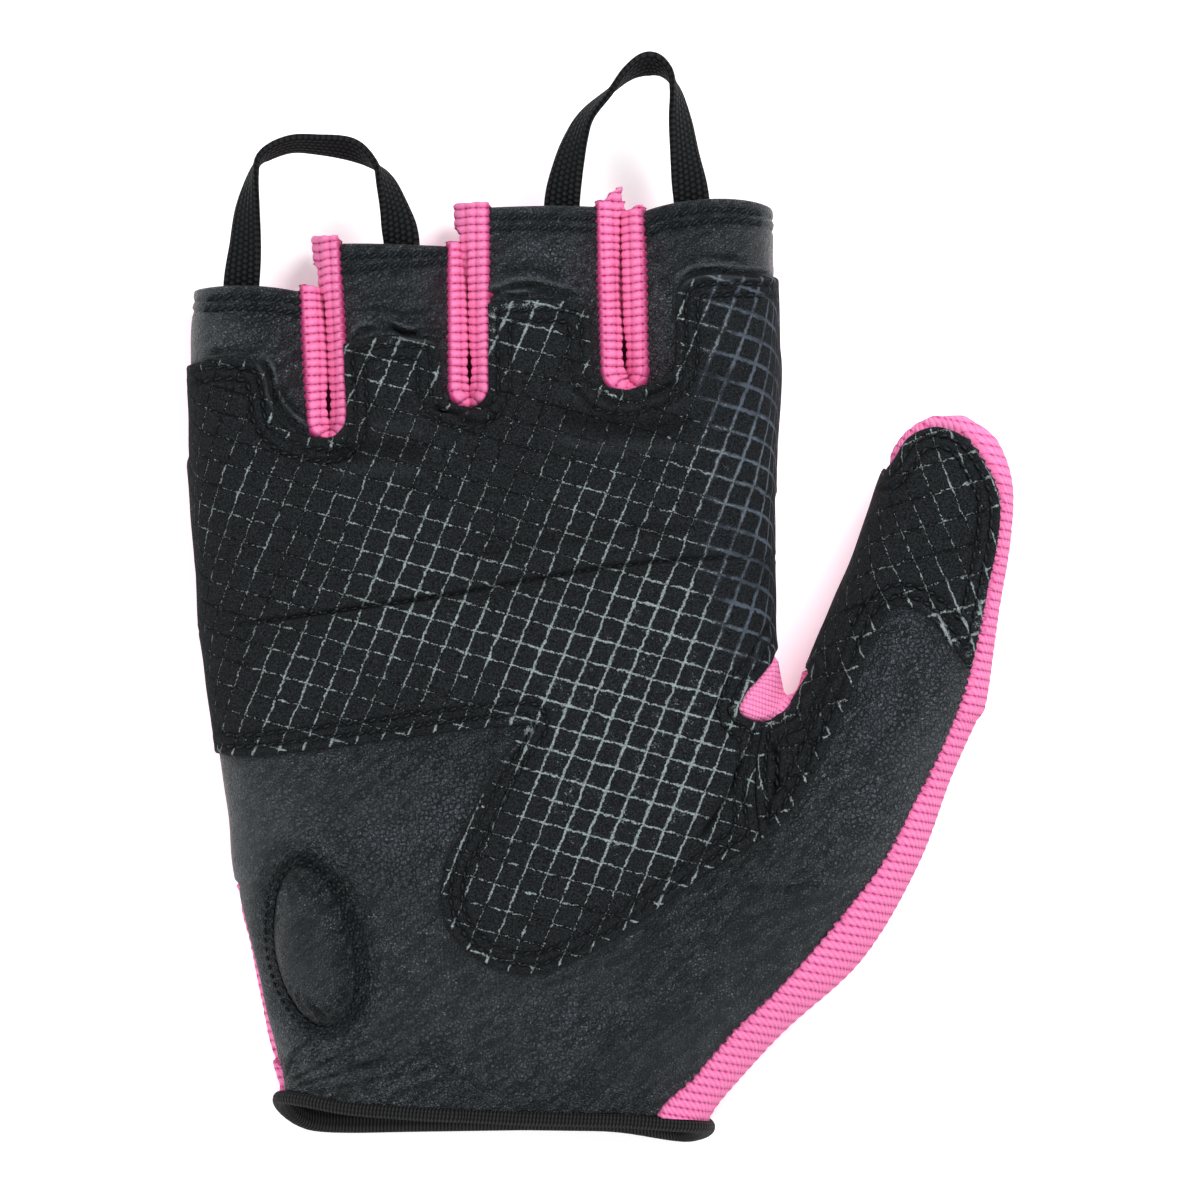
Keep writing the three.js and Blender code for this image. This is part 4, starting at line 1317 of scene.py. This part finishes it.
def make_strip(name):
    slot = SLOTS[name]
    foot = np.array(slot[2:4])
    way = np.array(slot[:2]) - foot
    way /= np.linalg.norm(way)
    shift, shorter = SLITS[name]

    def region(points):
        inside = slot_inside(points, slot) + 0.7
        stub = (STRIP_SPARE + 0.25 * unevenness(points, 2.6, 12)) * ramp(inside, 0.5, 0.9)
        torn = 2.3 * ramp(points[:, 0], -0.4, 3.2) ** 2 * (points[:, 0] < 3.7)
        ends = open_ends(points) + stub + torn * (name == "middle_index")
        return np.minimum(np.minimum(inside, points[:, 2] - WINDOW_FOOT + 0.3), ends)
    points, triangles = panel_net(region, fine=1)
    offset = points[:, :2] - foot
    s = offset @ way
    w = offset[:, 0] * way[1] - offset[:, 1] * way[0]
    lean = w - shift * ramp(s, 0, 12)
    across = np.where(s > 0, np.abs(lean), np.hypot(lean, s))
    turned = np.minimum(np.hypot(w, s), 2.2) * np.arctan2(-s, np.abs(w) + 0.2)
    along = np.where(s > 0, s, -turned) + 0.69 + 0.13 * unevenness(points, 5, 14)
    inside = slot_inside(points, slot)
    bead = np.sqrt(ripple(along, STRIP_BEAD))
    bead = np.where(s > 0, bead, 1 - 0.5 * (1 - bead))
    rise = ramp(inside + 0.8 * bead, 0, 0.75)
    outer = -LEATHER_WALL + (LEATHER_WALL + 0.4) * np.sqrt(rise)
    column = np.sqrt(ripple(across, STRIP_COLUMN))
    outer += (BEAD_HEIGHT * bead + COLUMN_HEIGHT * column - 0.25) * rise
    slit = hump(across, 0.3) * ramp(s, -0.45, 1.05) * ramp(s, shorter, shorter - 1.5)
    hole = hump(across, 0.55) * hump(s - 3.4, 2.2)
    outer -= SLIT_DEPTH * slit + HOLE_DEPTH * hole
    # The depth field paints shade in the slit, in the hole at the foot and where the knit goes under the
    # leather
    depth = 1.3 * slit + 2.5 * hole + 3 * ramp(inside, 0.35, -0.65)
    fields = {"along": along + STRIP_BEAD * 40, "across": across + STRIP_COLUMN * 40, "depth": depth}
    return closed_wall(f"fourchette_{name}_strip", points, triangles, outer, outer - KNIT_WALL, fields)


def make_gusset():
    def region(points):
        inside = outline_inside(points, GUSSET_OUTLINE) + 0.6
        return np.minimum(inside, points[:, 2] - WINDOW_FOOT + 0.3)
    points, triangles = panel_net(region, fine=1)
    inside = outline_inside(points, GUSSET_OUTLINE)
    outer = -LEATHER_WALL + (LEATHER_WALL + 0.45) * np.sqrt(ramp(inside, -0.1, 0.9))
    x, y, _ = points.T
    along = 0.35 * x + 0.94 * y + 50
    across = 0.94 * x - 0.35 * y + 50
    # The depth field paints shade where the jersey goes under the leather
    fields = {"along": along, "across": across, "depth": 3 * ramp(inside, 0.3, -0.7)}
    return closed_wall("thumb_gusset_panel", points, triangles, outer, outer - KNIT_WALL, fields)


def unrolled(points):
    """Plan places with the length round the palm's two rims added."""
    x, y, z = points.T
    top = SKIN.above(points[:, :2])[:, 2]
    slope = np.maximum(SKIN.normals(points)[:, 2], 0.25)
    rim = np.maximum(np.abs(x - PALM_MIDDLE) - PALM_FLAT, 0)
    return x + np.sign(x - PALM_MIDDLE) * (rim * (1 / slope - 1) * 0.45 + np.maximum(top - z, 0)), y


def palm_grid(points):
    """Rows and columns of the palm's printed grid."""
    x, y = unrolled(points)
    det = GRID_ROW[0] * GRID_COLUMN[1] - GRID_ROW[1] * GRID_COLUMN[0]
    dx, dy = x - GRID_ANCHOR[0], y - GRID_ANCHOR[1]
    row = (dx * GRID_COLUMN[1] - dy * GRID_COLUMN[0]) / det
    column = (dy * GRID_ROW[0] - dx * GRID_ROW[1]) / det
    return row + 100, column + 100


def thumb_grid(points):
    """Rows and columns of the thumb's printed grid."""
    x, y, z = points.T
    x = x + SKIN.normals(points)[:, 0] * (20 - z)
    return (0.94 * x + 0.34 * y) / 3.2 + 100, (0.95 * y - 0.30 * x) / 4.7 + 100


def clear_of_crotch(places):
    """Places that aren't on the tight bend between the thumb and the palm."""
    x, y, _ = places.T
    return ~((x > 28) & (x < 42) & (y > -17)) | (y > 17)


def make_grip(name, outline):
    def sewn_inside(points):
        return np.minimum(outline_inside(points, outline), -window_inside(points) - 0.1)

    def region(points):
        return np.minimum(sewn_inside(points), points[:, 2] - SEAM_HEIGHT - 0.4)
    points, triangles = panel_net(region, GRIP_RINGS, folded=True)
    x, y, _ = points.T
    edge, sewn = region(points), sewn_inside(points)
    depth, shadow = folds(points)
    lift = swell(points) - depth
    facing = ramp(SKIN.normals(points)[:, 2], 0, 0.65)
    proud = GRIP_PROUD
    grid = palm_grid
    if name == "grip_thumb_overlay":
        proud = 0.15 + 0.4 * facing
        grid = thumb_grid
    outer = proud - rounded_edge(edge, SUEDE_EDGE) + lift
    outer += facing * hump(sewn - 2.2, 2.2) * (0.12 + 0.16 * unevenness(points, 3.4, 9))
    for inset in SUEDE_ROWS:
        outer += groove(sewn - inset, GROOVE_HALF, SUEDE_GROOVE) * facing
        for chain in isolines(points, triangles, sewn - inset):
            STITCHES.sew(chain, SUEDE_STITCH, clear_of_crotch)
        shadow = darker(shadow, 0.6 * hump(sewn - inset, 0.4))
    if name == "grip_palm_overlay":
        STITCHES.sew(SKIN.above(spline(QUILT_LINE, 12)), QUILT_STITCH)
    row, column = grid(points)
    strength = np.clip(patches(points, 0.31, PRINT_PATCHES), 0, 1) + 0.4 * hump(edge - 0.9, 0.7)
    worn = ramp(x, 15, 23) * ramp(y, -14, -6) * (x < 36)
    fields = {"row": row, "column": column, "print": strength, "shadow": shadow, "worn": worn}
    return closed_wall(name, points, triangles, outer, 0.03 + lift, fields)


def make_pad():
    def region(points):
        return (1 - pad_place(points)) * 8
    points, triangles = panel_net(region, PAD_RINGS, fine=1)
    place, inner = pad_place(points), pad_place(points, PAD_INSET)
    dome = np.clip(1 - inner ** 3.0, 0, 1) ** 0.55
    turn = np.arctan2(points[:, 1] - HEEL_PAD["y"], points[:, 0] - HEEL_PAD["x"])
    pucker = np.sin(PAD_PUCKERS * turn + 3 * unevenness(points, 7, 6)) * hump(inner - 0.84, 0.14)
    outer = 0.12 - rounded_edge(region(points), PAD_EDGE) + PAD_HEIGHT * dome
    outer += PUCKER_HEIGHT * pucker * np.clip(1 + np.cos(turn), 0, 1)
    outer += swell(points) + 0.1 * unevenness(points, 5, 5)
    outer += groove((inner - PAD_STITCH_RING) * 9, GROOVE_HALF, PAD_GROOVE)
    for ring in (inner - PAD_STITCH_RING, place - 0.965):
        for chain in isolines(points, triangles, ring):
            STITCHES.sew(chain, PAD_STITCH)
    fields = {"shadow": 0.35 * hump((inner - 1.02) * 14, 1), "pebbled": np.full(len(points), 0.1)}
    return closed_wall("heel_pad_cover", points, triangles, outer, -LEATHER_WALL + 0.1, fields)


def sweep(name, centres, acrosses, throughs, section, closed=False):
    """A section swept along a path. The section's columns are across, through and surface place."""
    rings, ring = len(centres), len(section)
    points = centres[:, None] + acrosses[:, None] * section[:, 0:1] + throughs[:, None] * section[:, 1:2]
    steps = np.arange(rings if closed else rings - 1)[:, None]
    sides = np.arange(ring)
    here, ahead = steps * ring, (steps + 1) % rings * ring
    corners = (here + sides, here + (sides + 1) % ring, ahead + (sides + 1) % ring, ahead + sides)
    faces = [np.column_stack([corner.ravel() for corner in corners])]
    if not closed:
        ends = []
        for start, turned in ((0, True), ((rings - 1) * ring, False)):
            for i in range(ring // 2 - 1):
                cap = [start + i, start + i + 1, start + ring - 2 - i, start + ring - 1 - i]
                ends.append(cap[::-1] if turned else cap)
        faces.append(np.array(ends))
    piece = new_mesh(name, points.reshape(-1, 3), np.vstack(faces))
    lengths = np.linalg.norm(np.diff(centres, axis=0), axis=1)
    along = np.concatenate([[0], np.cumsum(lengths)])
    set_fields(piece, along=np.repeat(along, ring) + 20, across=np.tile(section[:, 2], rings) + 20)
    return piece


def make_loop(name):
    rows = spline(LOOP_ROWS[name], 16)
    centres = rows[:, :3]
    ways = np.gradient(centres, axis=0)
    ways /= np.linalg.norm(ways, axis=1)[:, None]
    beside = np.cross((0, 0, 1), ways)
    beside /= np.linalg.norm(beside, axis=1)[:, None]
    turn = np.radians(rows[:, 3:4])
    acrosses = beside * np.cos(turn) - np.cross(ways, beside) * np.sin(turn)
    throughs = np.cross(ways, acrosses)
    half = WEBBING_WIDTH / 2
    place = np.linspace(-1, 1, 31)
    rise = WEBBING_THICK / 2 * (1 - place ** 8) ** 0.5 * 0.9 + 0.05
    rise += 0.07 * np.abs(np.cos(place * half * math.pi / WEBBING_RIDGE)) * (1 - place ** 8)
    top = np.column_stack([place * half, rise, place * half])
    bottom = (top * (1, -1, 1) + (0, 0, 0.4))[::-1]
    return sweep(f"loop_{name}_tape", centres, acrosses, throughs, np.vstack([top, bottom]))


def wrist_ring():
    """Points round the wrist's open edge."""
    middle = np.array(WRIST_MIDDLE)
    angles = np.linspace(0, 2 * math.pi, WRIST_POINTS, endpoint=False)
    rays = np.column_stack([np.cos(angles), 0 * angles, np.sin(angles)])
    reach = np.full(len(angles), 5.0)
    for step in (4.0, 1.0, 0.25, 0.05):
        for _ in range(16):
            places = middle + rays * (reach + step)[:, None]
            places[:, 1] = wrist_line(places[:, 0], places[:, 2]) + 1.0
            reach = np.where(SKIN.sample(places) < -0.02, reach + step, reach)
    places = middle + rays * reach[:, None]
    places[:, 1] = wrist_line(places[:, 0], places[:, 2])
    return places


def make_binding():
    places = wrist_ring()
    for _ in range(6):
        places = (places + 0.5 * (np.roll(places, 1, axis=0) + np.roll(places, -1, axis=0))) / 2
    ways = np.roll(places, -1, axis=0) - np.roll(places, 1, axis=0)
    ways /= np.linalg.norm(ways, axis=1)[:, None]
    down = np.tile(np.array([0.0, -1.0, 0.0]), (len(places), 1))
    outs = np.cross(ways, down)
    inward = (outs * (places - places.mean(axis=0))).sum(axis=1) < 0
    outs[inward] *= -1
    outs[:, 1] = 0
    low = ramp(places[:, 2], 11, 2)
    tall = BINDING_HALF + BINDING_TALLER * low
    thick = BINDING_HALF + BINDING_THICKER * low
    turns = np.linspace(0, 2 * math.pi, 28, endpoint=False)
    section = np.column_stack([np.cos(turns), np.sin(turns), turns * 1.4])
    centres = places + outs * -0.5 + down * (0.8 + 0.35 * low)[:, None]
    centres[:, 2] = np.maximum(centres[:, 2], thick)
    tall, thick = down * tall[:, None], outs * thick[:, None]
    return sweep("wrist_binding_roll", centres, tall, thick, section, closed=True)


dress(make_leather(), LEATHER, "palm_leather")
dress(make_back(), KNIT, "back_knit")
for name in SLOTS:
    dress(make_strip(name), STRIP_KNIT, f"fourchette_{name}")
dress(make_gusset(), JERSEY, "thumb_gusset")
dress(make_grip("grip_palm_overlay", PALM_GRIP_OUTLINE), SUEDE, "grip_palm")
dress(make_grip("grip_thumb_overlay", THUMB_GRIP_OUTLINE), SUEDE, "grip_thumb")
PAD = make_pad()
dress(PAD, PAD_LEATHER, "heel_pad")
for name in LOOP_ROWS:
    dress(make_loop(name), WEBBING, f"loop_{name}")
dress(make_binding(), ELASTIC, "wrist_binding")
dress(STITCHES.mesh("sewing_thread"), THREAD)


def make_stage():
    corners = [(-900, -900, -0.2), (900, -900, -0.2), (900, 900, -0.2), (-900, 900, -0.2)]
    floor = new_mesh("floor", np.array(corners), np.array([[0, 1, 2, 3]]), smooth=False)
    look = Look("pale_floor", Roughness=0.7, Specular_IOR_Level=0.2, Base_Color=(0.98, 0.98, 0.98, 1),
                Emission_Color=(1, 1, 1, 1), Emission_Strength=FLOOR_GLOW)
    floor.data.materials.append(look.material)


def make_camera():
    data = bpy.data.cameras.new("camera")
    data.lens = CAMERA_LENS
    data.sensor_width = CAMERA_SENSOR
    camera = bpy.data.objects.new("camera", data)
    camera.location = (0, 0, CAMERA_PLANE + CAMERA_VIEW * CAMERA_LENS / CAMERA_SENSOR)
    bpy.context.scene.collection.objects.link(camera)
    bpy.context.scene.camera = camera


def make_lights():
    world = bpy.data.worlds.new("studio")
    world.use_nodes = True
    background = world.node_tree.nodes["Background"]
    background.inputs["Color"].default_value = (1, 1, 1, 1)
    background.inputs["Strength"].default_value = WORLD_STRENGTH
    bpy.context.scene.world = world
    for name, (place, size, power) in LIGHTS.items():
        data = bpy.data.lights.new(name, "AREA")
        data.size = size
        data.energy = power
        light = bpy.data.objects.new(name, data)
        light.location = place
        light.rotation_euler = (-Vector(place)).to_track_quat("-Z", "Y").to_euler()
        bpy.context.scene.collection.objects.link(light)


make_stage()
make_camera()
make_lights()
bpy.context.scene.view_settings.view_transform = "Standard"
